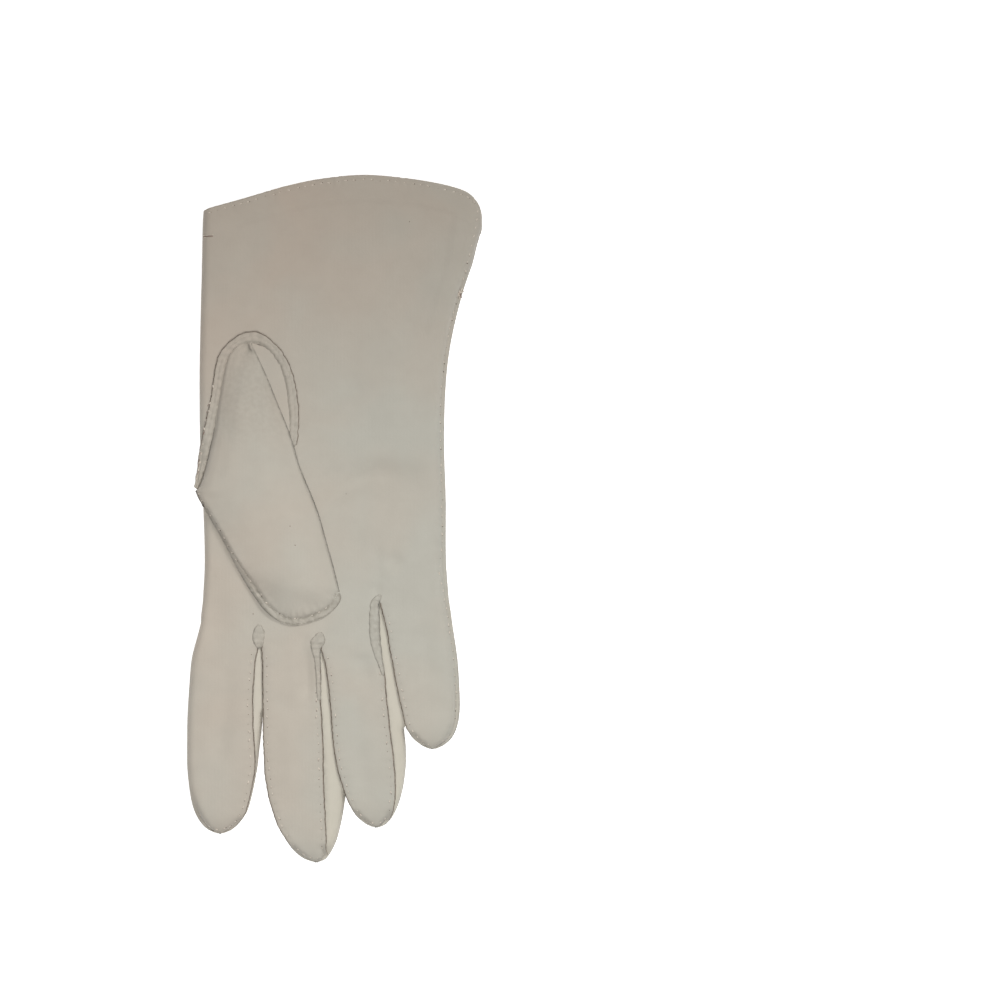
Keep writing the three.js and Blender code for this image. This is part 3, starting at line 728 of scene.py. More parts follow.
def add_finger(cloth, face, table, start, sides, shares):
    """One finger's face. Each side has its kind and the place where its seam starts.

    In the loop k is 0 at the left edge and 1 at the right one, so that -k is the edge's column.
    """
    tip = table[-1][0]
    long = np.linspace(start, tip + TIP_ROWS, int((start - tip - TIP_ROWS) / ROW) + 1)
    place = np.concatenate([long, rounding(tip, TIP_ROWS, 13)[1:]])[:, None]
    left, right = finger_edges(table, face, place)
    x = mix(left, right, shares[None, :])
    y = place + 0 * x
    low, high = finger_ends(place, tip)
    if face == "palm":
        high = finger_top(high, place, start)
    near_tip = past_strip(place, tip)
    reach = np.minimum(SEAM_REACH, 0.25 * (right - left))
    drop, dirt_and_shade, lift, shift = (np.zeros_like(x) for _ in range(4))
    cut = np.zeros((len(place) - 1, x.shape[1] - 1), bool)
    for k, ((kind, seam_start), d) in enumerate(zip(sides, (x - left, right - x))):
        begun = smooth(place, seam_start, seam_start - 3)
        if kind == "fold":
            end = 1 - smooth(place, tip + 5, tip + 16)
            one = mix(fold_drop(d, np.minimum(FOLD_REACH, 0.45 * (right - left))), seam_drop(d, reach), end)
            begun = end
        elif kind == "seam":
            one = np.where(d < 0.01, 0.5, seam_drop(d))
        else:
            one = mix(gusset_drop(d) * begun, seam_drop(d, reach), near_tip)
            one = np.where((d < 0.01) & (place < tip + 1), 0.5, one)
            waves = (1 - 2 * k) * jagged(y, 60 + 2 * k, RAW_WAVES)
            shift += waves * (1 - smooth(d, 0.2, 1.2)) * begun
            # The raw edge beside the strip gets the dark edge colour: its dirt and painted shade of the gap
            cut[1:-4, -k] = True
        drop = np.maximum(drop, one)
        lift += begun * stitched(d, y)
        # Darker beside the seams: seam dirt and painted shade
        dirt_and_shade += begun * dirt_and_shade_at(d)
    drop = np.where(place <= tip + 0.001, 0.5, drop)
    thickness = np.minimum(CLOTH, 0.3 * (high - low))
    if face == "back":
        add_back(cloth, x, y, low, high, drop, thickness)
        return
    grid = stacked(x + shift * (1 - near_tip), y, palm_surface(x, y, place, low, high, drop) + lift)
    cloth.add(grid, thickness, True, None, np.minimum(dirt_and_shade, 1), cut)


def snap_hole(cloth):
    """Move the points beside the thumb hole onto its outline."""
    grid = cloth.points[0]
    line = loop_outline(0.1)
    line = np.concatenate([line, line[:1]])
    x, y = grid[:, 0], grid[:, 1]
    distance, along = to_line(x, y, line)
    near = (distance < 0.75) & (grid[:, 2] > 5)
    grid[near, :2] = at_runs(line, along[near])


def trank():
    """The palm face and the back face: the hand, the three roots that are one, and the four fingers."""
    cloth = Cloth()
    for face in ("palm", "back"):
        crotch = crotch_edges(face)
        fingers = [spread(right - left, face) for left, right in crotch]
        roots_left, roots_right = plain_pair(roots_edges(face, np.array(ROOTS_END_Y)))
        three = np.concatenate([mix(*crotch[k], fingers[k]) for k in range(3)])
        shares = {"fingers": fingers, "three": (three - roots_left) / (roots_right - roots_left)}
        add_hand(cloth, face, shares, crotch)
        if face == "palm":
            snap_hole(cloth)
        add_roots(cloth, face, shares)
        for (table, start, *sides), finger_shares in zip(FINGERS, fingers):
            add_finger(cloth, face, table, start, sides, finger_shares)
    return cloth.thickened()


def palm_level(x, y):
    """Height of the palm face's outside, without its stitches."""
    left = curve(HAND, y)[..., 0]
    return palm_height(y) * (1 - 2 * (1 - SEAM_SHARE) * fold_drop(x - left)) + palm_relief(x, y)


# The seam round the thumb hole

BAND_INNER = [
    (197, 489), (200.5, 479), (204, 466), (207.5, 452), (211, 438), (214, 420), (217.5, 404), (220.5, 389),
    (222.5, 372), (226, 358), (232, 349.5), (241, 343), (250, 340.5), (259, 342), (266, 345.5), (273, 351.5),
    (281, 363), (285.5, 375), (288.5, 390), (290.5, 404), (291, 430), (289, 446),
]
BAND_OUTER = [
    (194.5, 487), (196.5, 476), (198, 464), (200, 450), (203, 437), (207, 418), (210.5, 402), (213, 388),
    (215, 372), (217.5, 359), (222, 350), (233, 339), (245, 332.5), (254, 331.5), (263.5, 334), (279, 347.5),
    (287, 360), (293, 375), (296, 389), (298, 403), (299, 419), (297, 444),
]
BAND_COUNT = 250  # rows of points along the band
BAND_REACH = 1.3  # from the palm's fold to where the band starts to bend over it
# Across the band: share of its width, lift above the palm
BAND_PROFILE = [
    (-0.25, -0.6), (-0.08, 0), (0.06, 0.28), (0.16, 0.38), (0.3, 0.38), (0.44, 0.3), (0.52, 0.26), (0.6, 0.3),
    (0.74, 0.38), (0.86, 0.38), (0.92, 0.35), (1, 0.3),
]


def loop_band():
    """The palm's edge round the thumb hole, sewn down flat on the palm."""
    inner, outer = (evenly(traced(pixels), BAND_COUNT) for pixels in (BAND_INNER, BAND_OUTER))
    run = run_of(outer)[:, None]
    across, lift = np.array(BAND_PROFILE).T[:, None, :]
    plan = mix(inner[:, None, :], outer[:, None, :], across[..., None])
    x, y = plan[..., 0], plan[..., 1]
    normal = unit(plan[:, -1] - plan[:, 0])
    uneven = jagged(run, 71, 0.1) * smooth(across, 0.6, 1) + jagged(run, 72, 0.15) * smooth(across, 0.3, 0)
    x, y = x + uneven * normal[:, :1], y + uneven * normal[:, 1:]
    bend_x = curve(HAND, y)[..., 0] + BAND_REACH
    level = palm_level(np.maximum(x, bend_x), y)
    wave = 0.07 * np.sin(2 * math.pi * (run / STITCH_PITCH + 0.6 * across)) + ripple(x, y, 21, (1.6, 5), 0.09)
    beyond = np.clip(bend_x - x, 0, 2)
    z = level + lift + wave * smooth(across, -0.2, 0.2) - 0.5 * beyond
    faded = smooth(run, run[-1] - 0.5, run[-1] - 16)
    z = z - 0.3 * (1 - faded)
    # The band's outer edge gets the dark edge colour: its dirt and painted shade under the raised edge
    cut = np.zeros((BAND_COUNT - 1, len(BAND_PROFILE) - 1), bool)
    cut[:, -1] = True
    cloth = Cloth()
    # Darker tone on the band: dirt overall, painted shade along its raised outer edge, and the dark seam line
    # at its inner edge
    dirt_and_shade = 0.3 + 0.65 * bell(across - 1, 0.12) + 0.15 * bell(across - 0.5, 0.12)
    dirt_and_shade = np.clip(dirt_and_shade + 0.6 * bell(across - 0.05, 0.07) + ripple(x, y, 23, (1.2, 3.5), 0.17), 0, 1)
    cloth.add(np.stack([x, y, z], -1), CLOTH, False, None, dirt_and_shade, cut)
    return cloth.thickened()


# Fourchettes, the strips between the fingers

def fourchette(left_table, right_table, start, opens):
    """A strip that runs down the left finger's right side and back up the right finger's left side.

    Above the place where the fingers come apart, it reaches under the right finger's edge.
    """
    cloth = Cloth()
    first = []
    top_y = start + 0.6
    for table, side in ((left_table, 1), (right_table, 0)):
        tip = table[-1][0]
        near_end = np.linspace(tip + TIP_ROWS, tip + 1.2, 9)[1:]
        place = np.concatenate([np.linspace(top_y, tip + TIP_ROWS, 62), near_end])[:, None]
        palm = finger_edges(table, "palm", place)[side]
        back = finger_edges(table, "back", place)[side]
        low, high = finger_ends(place, tip)
        high = finger_top(high, place, start)
        near_tip = past_strip(place, tip)
        middle = mix(low, high, SEAM_SHARE)
        top = mix(0.88 * high - 0.3, middle + 0.02, near_tip)
        bottom = mix(low + 0.06 * high + 0.62, middle - 0.25, near_tip)
        turn, across = np.linspace(0, math.pi / 2, 13)[None, :], np.linspace(0, 1, 13)[None, :]
        if side == 1:
            neighbour = finger_edges(right_table, "palm", np.maximum(place, right_table[-1][0] + 3))[0]
            reach = back - 0.1 - palm + 0.5
            bulge = np.clip((neighbour + 0.6 - back + 0.18 * reach) / 0.77, 0, 3.5)
            bulge = bulge * smooth(place, opens - 1, opens + 2) * smooth(place, start - 1, start - 5)
            x = palm - 0.5 + reach * np.sin(turn) + bulge * np.sin(2 * turn) * np.sin(turn)
            fall = np.cos(turn) ** 0.4
        else:
            x = palm + 0.5 + (back - palm) * across
            fall = 1 - across
        z = mix(bottom, top, fall)
        z = z + ripple(x + 3 * z, place + 0 * x, 31 + side, (6, 14), 0.05) * np.sin(2 * turn) * (1 - near_tip)
        grid = stacked(x, place, z)
        first.append(grid[0])
        # Darker along both edges of the strip, where it meets and runs under the fingers: seam dirt and
        # painted shade of the gap
        dirt_and_shade = 0.8 * bell(across, 0.12) + 0.5 * bell(1 - across, 0.1) + 0 * x
        cloth.add(grid, mix(CLOTH, 0.2, near_tip), side == 1, None, dirt_and_shade)
    # The bend in the crotch
    a, b = first
    turns = np.linspace(0, math.pi, 7)[:, None, None]
    middle, half = (a + b)[None] / 2, (b - a)[None] / 2
    bend = middle - np.cos(turns) * half
    bend[..., 1] = top_y + 0.5 * np.sin(turns[..., 0])
    # The bend in the crotch is darker: painted shade, with seam dirt
    cloth.add(bend, CLOTH, True, None, 0.8)
    return cloth.thickened()


# Thumb

THUMB_SEAM = [
    (195.3, 490.4), (198, 498), (203, 506), (210.6, 519), (222, 538), (238, 570), (251, 592), (258, 602),
    (266, 612), (277, 620.5), (290, 625.5), (302, 624.8), (315, 621), (328, 615), (336, 608), (340, 602),
    (341.3, 598),
]
THUMB_FOLD = [
    (252, 343), (256, 353), (266.5, 375), (278, 404), (290, 433), (296, 453), (299, 466), (318, 510),
    (326, 540), (333, 565), (338, 585), (341.3, 598),
]
THUMB_SHARE = 0.78  # height of the thumb's upper side, as a share of its solid's
THUMB_FLANGE = (0.8, 2.25)  # width of the flat seam along the thumb and round its tip
THUMB_PITCH = 3.1  # of the puckers along that seam
THUMB_DENT = ((-22, -25), (-8, -29))
THUMB_POCKET = (-29.4, 60.3)  # the hollow where the fold meets the band
EDGE_SHARE = 0.1  # share of the thumb's height at its edges
CROWN = 7  # sharpness of the join between the thumb's two slopes
FAR = 1000
LOOP_PLACES = (6.8, 62.4)  # y of the thumb hole's two ends
FOLD_LINING = 0.12  # thickness of the lower cloth where the tube is closed
# Shares of the thumb's width at which its columns beside an edge lie
THUMB_STEPS = (0, 0.012, 0.03, 0.05, 0.07, 0.09, 0.115, 0.14)


def thumb_outline(y, seam, fold):
    """Left and right edge of the thumb across a place."""
    lowest = int(np.argmin(seam[:, 1]))
    down, up = seam[:lowest + 1], seam[lowest:]
    right_line = np.concatenate([fold, up[::-1][1:]])
    right = np.interp(-y, -right_line[:, 1], right_line[:, 0])
    left = np.interp(-y, -down[:, 1], down[:, 0])
    left = np.where(y > seam[0, 1], curve(THUMB, y)[..., 0], left)
    return left, np.maximum(right, left + 0.02)


def rise(distance, reach):
    """A soft slope from 0 at an edge to 1 at a distance from it."""
    return np.sin(math.pi / 2 * np.clip(distance / reach, 0, 1))


def thumb_flange(y):
    """Width of the flat seam along the thumb, which is widest round the tip."""
    return mix(*THUMB_FLANGE, smooth(y, -9, -26))


def near_thumb_tip(y):
    return smooth(y, -16, -29)


def below_hole(y):
    """From 0 beside the thumb hole to 1 below it, where the thumb's left edge is a seam."""
    return smooth(y, 13, 7)


def thumb_stitch_line():
    line = evenly(traced(THUMB_SEAM, 2), 90)
    aside = beside(line, 1) - line
    return line + aside * thumb_flange(line[:, 1:])


def thumb_slopes(x, y, left, to_seam, to_fold):
    """Share of its full height that the thumb's upper side has at each place."""
    within = np.maximum(to_seam - thumb_flange(y), 0)
    beside_tip = EDGE_SHARE + 0.9 * rise(within, 13)
    beside_palm = EDGE_SHARE + 0.38 * rise(within, 0.8) + 0.5 * rise(within, 16)
    sewn_side = mix(beside_palm, beside_tip, near_thumb_tip(y))
    from_left = np.clip((x - left) / mix(8, 6.5, smooth(y, 50, 20)), 0, 1)
    overhang = mix(0.02, 0.17, smooth(y, 36, 22))
    loop_side = overhang + (1 - overhang) * rise(from_left, 1)
    left_side = mix(loop_side, sewn_side, below_hole(y))
    fold_side = EDGE_SHARE + 0.1 * arc(to_fold / 0.9) + 0.8 * rise(to_fold, 15)
    # Where the two sides meet they join in a soft crown
    crown = np.exp(-CROWN * left_side) + np.exp(-CROWN * fold_side)
    return np.maximum(-1.1 * np.log(crown) / CROWN, EDGE_SHARE)


def thumb_relief(x, y, left, to_seam, to_fold, pocket):
    """Soft waves and dents of the thumb's upper side, and the ridge beside the band."""
    lift = ripple(x, y, 41, (18, 40), 0.2) + ripple(x, y, 44, (7, 13), 0.05)
    dent, _ = to_segment(x, y, *THUMB_DENT)
    lift -= 0.6 * bell(dent, 4)
    near_left = x - left
    lift += smooth(y, 9, 16) * (0.45 * bell(near_left - 1.3, 0.9) - 0.7 * bell(near_left - 5.2, 2.3))
    lift *= smooth(to_seam, 2.2, 5) * smooth(to_fold, 0.3, 2.5)
    return lift - 0.3 * pocket * smooth(to_fold, 0, 2)


def thumb_seam_relief(x, y, to_seam, along):
    """Puckers beside the thumb's flat seam, waves on it and the groove at its inner edge."""
    width = thumb_flange(y)
    pucker = 0.2 * np.sin(along * 2 * math.pi / THUMB_PITCH + 0.6 * np.sin(along))
    pucker = pucker * bell(to_seam - width - 1, 2.0)
    edge_wave = 0.09 * np.sin(along * 2 * math.pi / STITCH_PITCH) * bell(to_seam - width / 2, 1)
    edge_wave += ripple(x, y, 47, (1.2, 3.5), 0.09) * bell(to_seam - width / 2, 1)
    groove = -0.25 * bell(to_seam - width, 0.4)
    return (pucker + edge_wave + groove) * below_hole(y)


def thumb_dirt_and_shade(x, y, left, to_seam, to_fold, along, pocket):
    """Darker tone: dirt on the flat seam round the tip; painted shade along the seam's edge and its uneven
    inner groove, along the fold, along the thumb's edge beside the hole and in the hollow of the hole; and
    darker towards the thumb's upper end.
    """
    width, near_tip, sewn = thumb_flange(y), near_thumb_tip(y), below_hole(y)
    at_tip = 0.15 + 0.85 * smooth(y, -20, -29)
    wavy = to_seam - width - 0.2 * np.sin(along * 2.1 + np.sin(along))
    dirt_and_shade = sewn * (mix(0.45, 1.5, near_tip) * bell(to_seam, 0.4) + 1.8 * at_tip * bell(wavy, 0.38))
    dirt_and_shade += 0.7 * near_tip * smooth(to_seam, width + 0.1, width - 0.3) + 2 * bell(to_fold, 0.4)
    dirt_and_shade += (1 - sewn) * 0.8 * smooth(y, 34, 24) * bell(x - left, 0.4)
    dirt_and_shade += 0.3 * smooth(y, 18, 42) + 0.9 * pocket
    return np.minimum(dirt_and_shade, 2)


def thumb_top(x, y, left, seam, fold):
    """Height of the thumb's upper side above the palm, and its darker tone of seam dirt and painted shade."""
    height = THUMB_SHARE * curve(THUMB, np.maximum(y, -30))[..., 2]
    to_seam, along = to_line(x, y, seam)
    to_fold, _ = to_line(x, y, fold)
    pocket = bell(np.hypot(x - THUMB_POCKET[0], y - THUMB_POCKET[1]), 2.2)
    past_fold = y < fold[-1, 1] + 0.01
    share = thumb_slopes(x, y, left, to_seam, np.where(past_fold, FAR, to_fold))
    relief = thumb_relief(x, y, left, to_seam, to_fold, pocket)
    above = height * share + relief + thumb_seam_relief(x, y, to_seam, along)
    return above, thumb_dirt_and_shade(x, y, left, to_seam, to_fold, along, pocket)


def thumb_underside(rows, left, right, edge_z):
    """The fold turned under, and the cloth below, which runs to the thumb hole's right edge.

    Past the hole it runs on to the left edge and closes the tube.
    """
    rest = palm_height(rows)
    past = smooth(rows, 9.5, 5)
    end_x = mix(curve(LOOP, np.clip(rows, *LOOP_PLACES))[..., 1] + 0.2, left, past)
    lowest = mix(rest + 0.25, rest + 0.1, smooth(rows, 34, 12))
    turned = [(0, edge_z), (0.25, edge_z - 0.22), (0.7, edge_z - 0.3), (1.6, lowest)]
    lines = [(right - inset, level) for inset, level in turned]
    for t in np.linspace(0.08, 1, 12):
        slack = mix(0.25 * (edge_z - rest), 0 * edge_z, smooth(rows, 34, 28)) * math.sin(math.pi * t)
        lines.append((mix(right - 1.6, end_x, t), mix(lowest, rest + 0.2 - 0.1 * past, t) + slack))
    x, z = (np.concatenate([line[k] + 0 * rows for line in lines], 1) for k in (0, 1))
    evenly_spread = left + np.linspace(1, 0, len(lines))[None, :] * (right - left)
    x = mix(evenly_spread, x, np.clip((right - left) / 8, 0, 1))
    return stacked(x, rows, z), mix(CLOTH, FOLD_LINING, past)


def thumb_cloth():
    seam, fold = traced(THUMB_SEAM, 2), traced(THUMB_FOLD, 2)
    tip = seam[:, 1].min()
    near_hole, along = np.linspace(62.2, 56, 9), np.linspace(56, tip + TIP_ROWS, 110)[1:]
    rows = np.concatenate([near_hole, along, rounding(tip, TIP_ROWS, 15)[1:]])[:, None]
    left, right = thumb_outline(rows, seam, fold)
    steps = np.array(THUMB_STEPS)
    shares = np.concatenate([steps, np.linspace(0.165, 0.835, 28), 1 - steps[::-1]])[None, :]
    x, y = mix(left, right, shares), rows + 0 * shares
    above, dirt_and_shade = thumb_top(x, y, left, seam, fold)
    top = stacked(x, y, palm_height(rows) + above)
    cloth = Cloth()
    cloth.add(top, CLOTH, True, None, dirt_and_shade)

    beneath, thickness = thumb_underside(rows, left, right, top[:, -1:, 2])
    closing = rows[:, 0] < 5
    beneath[closing, -1] = top[closing, 0]
    cloth.add(beneath, thickness, True)

    # On the left the edge turns under and goes into the hole
    edge = top[~closing, 0]
    hole_left = curve(LOOP, np.clip(edge[:, 1], *LOOP_PLACES))[:, 0] + 0.5
    inward = np.stack([hole_left, edge[:, 1], palm_height(edge[:, 1]) - 0.5], 1)
    turned = [edge]
    for t in (0.25, 0.5, 0.75, 1):
        point = mix(edge, inward, t)
        point[:, 2] = mix(edge[:, 2], inward[:, 2], min(1, 1.6 * t))
        turned.append(point)
    cloth.add(np.stack(turned, 1), CLOTH, False)
    return cloth.thickened()


# Stitches

def tube(points, radii, material):
    """A closed thread with six sides through points, as quads."""
    sides = 6
    ring_points, faces = [], []
    for point, ahead, radius in zip(points, np.gradient(points, axis=0), radii):
        ahead = unit(ahead)
        across = unit(np.cross(ahead, (0, 0, 1)))
        other = np.cross(across, ahead)
        for angle in np.arange(sides) * 2 * math.pi / sides:
            ring_points.append(point + radius * (across * math.cos(angle) + other * math.sin(angle)))
    for ring in range(len(points) - 1):
        for side in range(sides):
            a, b = ring * sides + side, ring * sides + (side + 1) % sides
            faces.append([a, a + sides, b + sides, b])
    last = (len(points) - 1) * sides
    faces += [[0, 1, 2, 3], [0, 3, 4, 5]]
    faces += [[last + k for k in corners] for corners in ((3, 2, 1, 0), (5, 4, 3, 0))]
    return np.array(ring_points), np.array(faces), material, 0.0


def stitch_row(
    line, tree, seed, pitch=STITCH_PITCH, length=1.0, radius=STITCH_RADIUS, seen=0.85, material=PALE,
):
    """Short threads along a line on the cloth, which dip in at their ends, each beside its needle hole, a
    dark dimple of painted shade.

    The share of them that is seen has a thread; the others have pulled in and leave the hole alone.
    """
    chance = np.random.default_rng(seed)
    runs = np.arange(0.4 * pitch, run_of(line)[-1] - 0.3 * pitch, pitch)
    parts = []
    for centre in runs + chance.uniform(-0.35, 0.35, len(runs)):
        ahead, behind, middle = (at_runs(line, centre + step) for step in (0.3, -0.3, 0))
        along = ahead - behind
        turn = math.atan2(along[1], along[0]) + chance.uniform(-0.5, 0.5)
        along = np.array([math.cos(turn), math.sin(turn), 0])
        size, sunk, shown, wide = chance.uniform((0.65, 0, 0, 0.12), (1.1, 0.16, 1, 0.24))
        middle = middle + chance.uniform(-0.15, 0.15, 2)
        level = on_surface(middle, tree)
        if level is None:
            continue
        if shown < seen:
            share = np.linspace(-1, 1, 7)[:, None]
            points = np.array([*middle, level + 0.3 * radius - sunk]) + along * share * size * length / 2
            points[:, 2] -= 0.3 * share[:, 0] ** 4
            radii = size * radius * np.sqrt(np.maximum(1 - share[:, 0] ** 4, 0.03))
            parts.append(tube(points, radii, material))
        if material == PALE:
            parts += hole_shade_and_speck(middle + along[:2] * (0.62 * length) * size, tree, wide)
    return parts


def hole_shade_and_speck(place, tree, radius):
    """A small dark dimple: painted shade at a needle hole, dirt at a speck."""
    points = []
    for angle in np.arange(8) * math.pi / 4:
        spot = place + radius * np.array([math.cos(angle), math.sin(angle)])
        level = on_surface(spot, tree)
        if level is None:
            return []
        points.append((*spot, level - 0.02))
    points.append((*place, np.mean(points, axis=0)[2] + 0.06))
    faces = [[k, (k + 1) % 8, 8, 8] for k in range(8)] + [[3, 2, 1, 0], [7, 4, 3, 0], [7, 6, 5, 4]]
    return [(np.array(points), np.array(faces), HOLE_SHADE_AND_SPECK, 1.0)]


def specks(pixels, tree):
    return [part for place in from_pixels(pixels) for part in hole_shade_and_speck(place, tree, SPECK_RADIUS)]


def seam_end(places, tree, seed):
    """The end of a seam, turned out beside a crotch and sewn down."""
    places = np.asarray(places, float)
    line = np.column_stack([from_pixels(places), places[:, 2] * MM_PER_PIXEL])
    line = evenly(smoothed(line), int(run_of(line)[-1] / 0.3))
    shares, lift = np.array(SEAM_END_PROFILE).T
    run = run_of(line)[:, None]
    x = line[:, :1] + shares * line[:, 2:] + jagged(run + 5 * shares, seed, 0.1) * np.abs(shares)
    y = line[:, 1:2] + 0 * x
    z = np.empty_like(x)
    for row in range(len(x)):
        levels = [on_surface(place, tree) or 0 for place in zip(x[row], y[row])]
        z[row] = np.maximum(levels, max(levels) - 0.5)
    ends = np.minimum(run, run[-1] - run)
    z += lift - 0.35 * (1 - smooth(ends, 0, 1)) + ripple(x, y, seed, (1.2, 3.5), 0.11)
    # Darker overall and more so at the edges: seam dirt, and painted shade along the edges
    dirt_and_shade = 0.5 + 0.45 * smooth(np.abs(shares), 0.8, 1) * smooth(run, run[-1], 0.6 * run[-1])
    cloth = Cloth()
    cloth.add(stacked(x, y, z), CLOTH / 2, False, None, dirt_and_shade)
    return cloth.thickened()


def on_surface(place, tree):
    hit = tree.ray_cast((place[0] * MM, place[1] * MM, 0.1), (0, 0, -1))[0]
    return None if hit is None else hit.z / MM


def surface_tree(*pieces):
    places, faces = [], []
    for piece in pieces:
        count = len(places)
        places += [vertex.co.copy() for vertex in piece.data.vertices]
        faces += [[v + count for v in face.vertices] for face in piece.data.polygons]
    return BVHTree.FromPolygons(places, faces)


def edge_line(table, side, start, end, inset):
    """A line inside one edge of a finger's palm face."""
    y = np.linspace(start, end, 80)
    x = finger_edges(table, "palm", y)[side]
    return np.stack([x + (inset if side == 0 else -inset), y], 1)


def tip_line(table, above, inset):
    """A line inside a fingertip's edge, from its left side round to its right side."""
    tip = table[-1][0]
    y = tip + above * (1 - np.sin(np.linspace(0, math.pi / 2, 40)))
    left, right = finger_edges(table, "palm", y)
    line = np.concatenate([np.stack([left, y], 1), np.stack([right, y], 1)[::-1]])
    return beside(evenly(line, 60), inset)


def palm_stitches(tree):
    """The rows at the sewn side, along the fingers' edges and round their tips."""
    turn_y = ROOTS[0][0]
    y = np.linspace(VENT_Y + 27, turn_y, 120)
    x = hand_edges("palm", y)[1] - STITCH_INSET
    side_rows = [np.stack([x, y + cuff_shift(x, y)], 1)]
    side_rows.append(edge_line(LITTLE, 1, turn_y, LITTLE[-1][0] + 7, STITCH_INSET))
    finger_rows = [
        edge_line(table, side, start, table[-1][0] + 7, 1.6) for table, side, start in STITCHED_EDGES
    ]
    tip_rows = [tip_line(table, 6.5, 1.5) for table, *_ in FINGERS]
    kinds = [(side_rows, STITCH_PITCH, 0.9), (finger_rows, STITCH_PITCH, 0.6), (tip_rows, TIP_PITCH, 0.9)]
    parts, seed = [], 0
    for lines, pitch, seen in kinds:
        for line in lines:
            parts += stitch_row(line, tree, seed, pitch, seen=seen)
            seed += 1
    return parts + specks(PALM_SPECKS, tree)


def hem_stitches(tree):
    x = np.linspace(HAND[0][1] + 1.2, HAND[0][2] - 1.5, 140)
    line = np.stack([x, CUFF_Y - STITCH_INSET + cuff_shift(x, CUFF_Y + 0 * x)], 1)
    return stitch_row(line, tree, 31, HEM_PITCH)


def thumb_seam_stitches(tree):
    return stitch_row(thumb_stitch_line(), tree, 51, seen=0.7) + specks(THUMB_SPECKS, tree)


def hole_stitches(tree):
    """The pale stitches and the brown thread left of the thumb hole."""
    pale, brown = (evenly(traced(pixels), 60) for pixels in (HOLE_STITCHES, HOLE_THREAD))
    parts = stitch_row(pale, tree, 61, radius=0.24, seen=0.95)
    return parts + stitch_row(brown, tree, 62, 2.4, 2.2, 0.13, 0.8, BROWN)


def tack_threads(tree):
    """The knot that ends the vent, and the threads that hold the hem down at the fold."""
    found = []
    chance = np.random.default_rng(91)
    x, y = KNOT_PLACE
    level = on_surface((x, y), tree)
    for turn in KNOT_TURNS:
        share = np.linspace(-1, 1, 9)
        reach = chance.uniform(1.4, 2.4)
        height = level + 0.45 - 0.55 * share ** 2 + chance.uniform(0, 0.2)
        across, along = math.sin(turn + 0.4), math.cos(turn + 0.4)
        line = np.stack([x + share * reach * across, y + share * reach * along, height], 1)
        found.append(tube(line, np.full(9, STITCH_RADIUS), BROWN if turn == KNOT_TURNS[0] else PALE))
    for y, material, end in HEM_THREADS:
        places = np.stack([np.linspace(HEM_THREADS_X, end, 11), y + 0.12 * np.linspace(0, 1, 11)], 1)
        levels = np.array([on_surface(place, tree) or 0 for place in places])
        levels = np.maximum(levels, 0.4 * levels.max()) + 0.08
        levels[-1] -= 0.4
        found.append(tube(np.column_stack([places, levels]), np.full(11, HEM_THREAD_RADIUS), material))
    return found


# Materials

def node(tree, kind, **inputs):
    made = tree.nodes.new(kind)
    for name, value in inputs.items():
        made.inputs[name.replace("_", " ")].default_value = value
    return made


def noise(tree, places, **inputs):
    made = node(tree, "ShaderNodeTexNoise", **inputs)
    tree.links.new(places, made.inputs["Vector"])
    return made.outputs["Fac"]


def stretched(tree, value, start, end, low=0.0, high=1.0):
    """A value stretched so that start and end become low and high."""
    made = node(tree, "ShaderNodeMapRange", From_Min=start, From_Max=end, To_Min=low, To_Max=high)
    tree.links.new(value, made.inputs["Value"])
    return made.outputs["Result"]


def calculated(tree, operation, *values):
    made = tree.nodes.new("ShaderNodeMath")
    made.operation = operation
    for socket, value in zip(made.inputs, values):
        if isinstance(value, float):
            socket.default_value = value
        else:
            tree.links.new(value, socket)
    return made.outputs["Value"]


def colour_mix(tree, factor, first, second, blend="MIX"):
    made = tree.nodes.new("ShaderNodeMix")
    made.data_type, made.blend_type = "RGBA", blend
    for socket, value in ((made.inputs[0], factor), (made.inputs[6], first), (made.inputs[7], second)):
        if isinstance(value, (tuple, float)):
            socket.default_value = (*value, 1) if isinstance(value, tuple) else value
        else:
            tree.links.new(value, socket)
    return made.outputs[2]


def plain(name, colour, roughness=0.85):
    material = bpy.data.materials.new(name)
    material.use_nodes = True
    shader = material.node_tree.nodes["Principled BSDF"]
    shader.inputs["Base Color"].default_value = (*colour, 1)
    shader.inputs["Roughness"].default_value = roughness
    return material


def speckled(name, colour, dark, scale, roughness=0.85):
    """A colour with small irregular darker places."""
    material = plain(name, colour, roughness)
    tree = material.node_tree
    places = tree.nodes.new("ShaderNodeTexCoord").outputs["Object"]
    share = stretched(tree, noise(tree, places, Scale=scale, Detail=3.0), 0.35, 0.65)
    mixed = colour_mix(tree, share, colour, dark)
    tree.links.new(mixed, tree.nodes["Principled BSDF"].inputs["Base Color"])
    return material


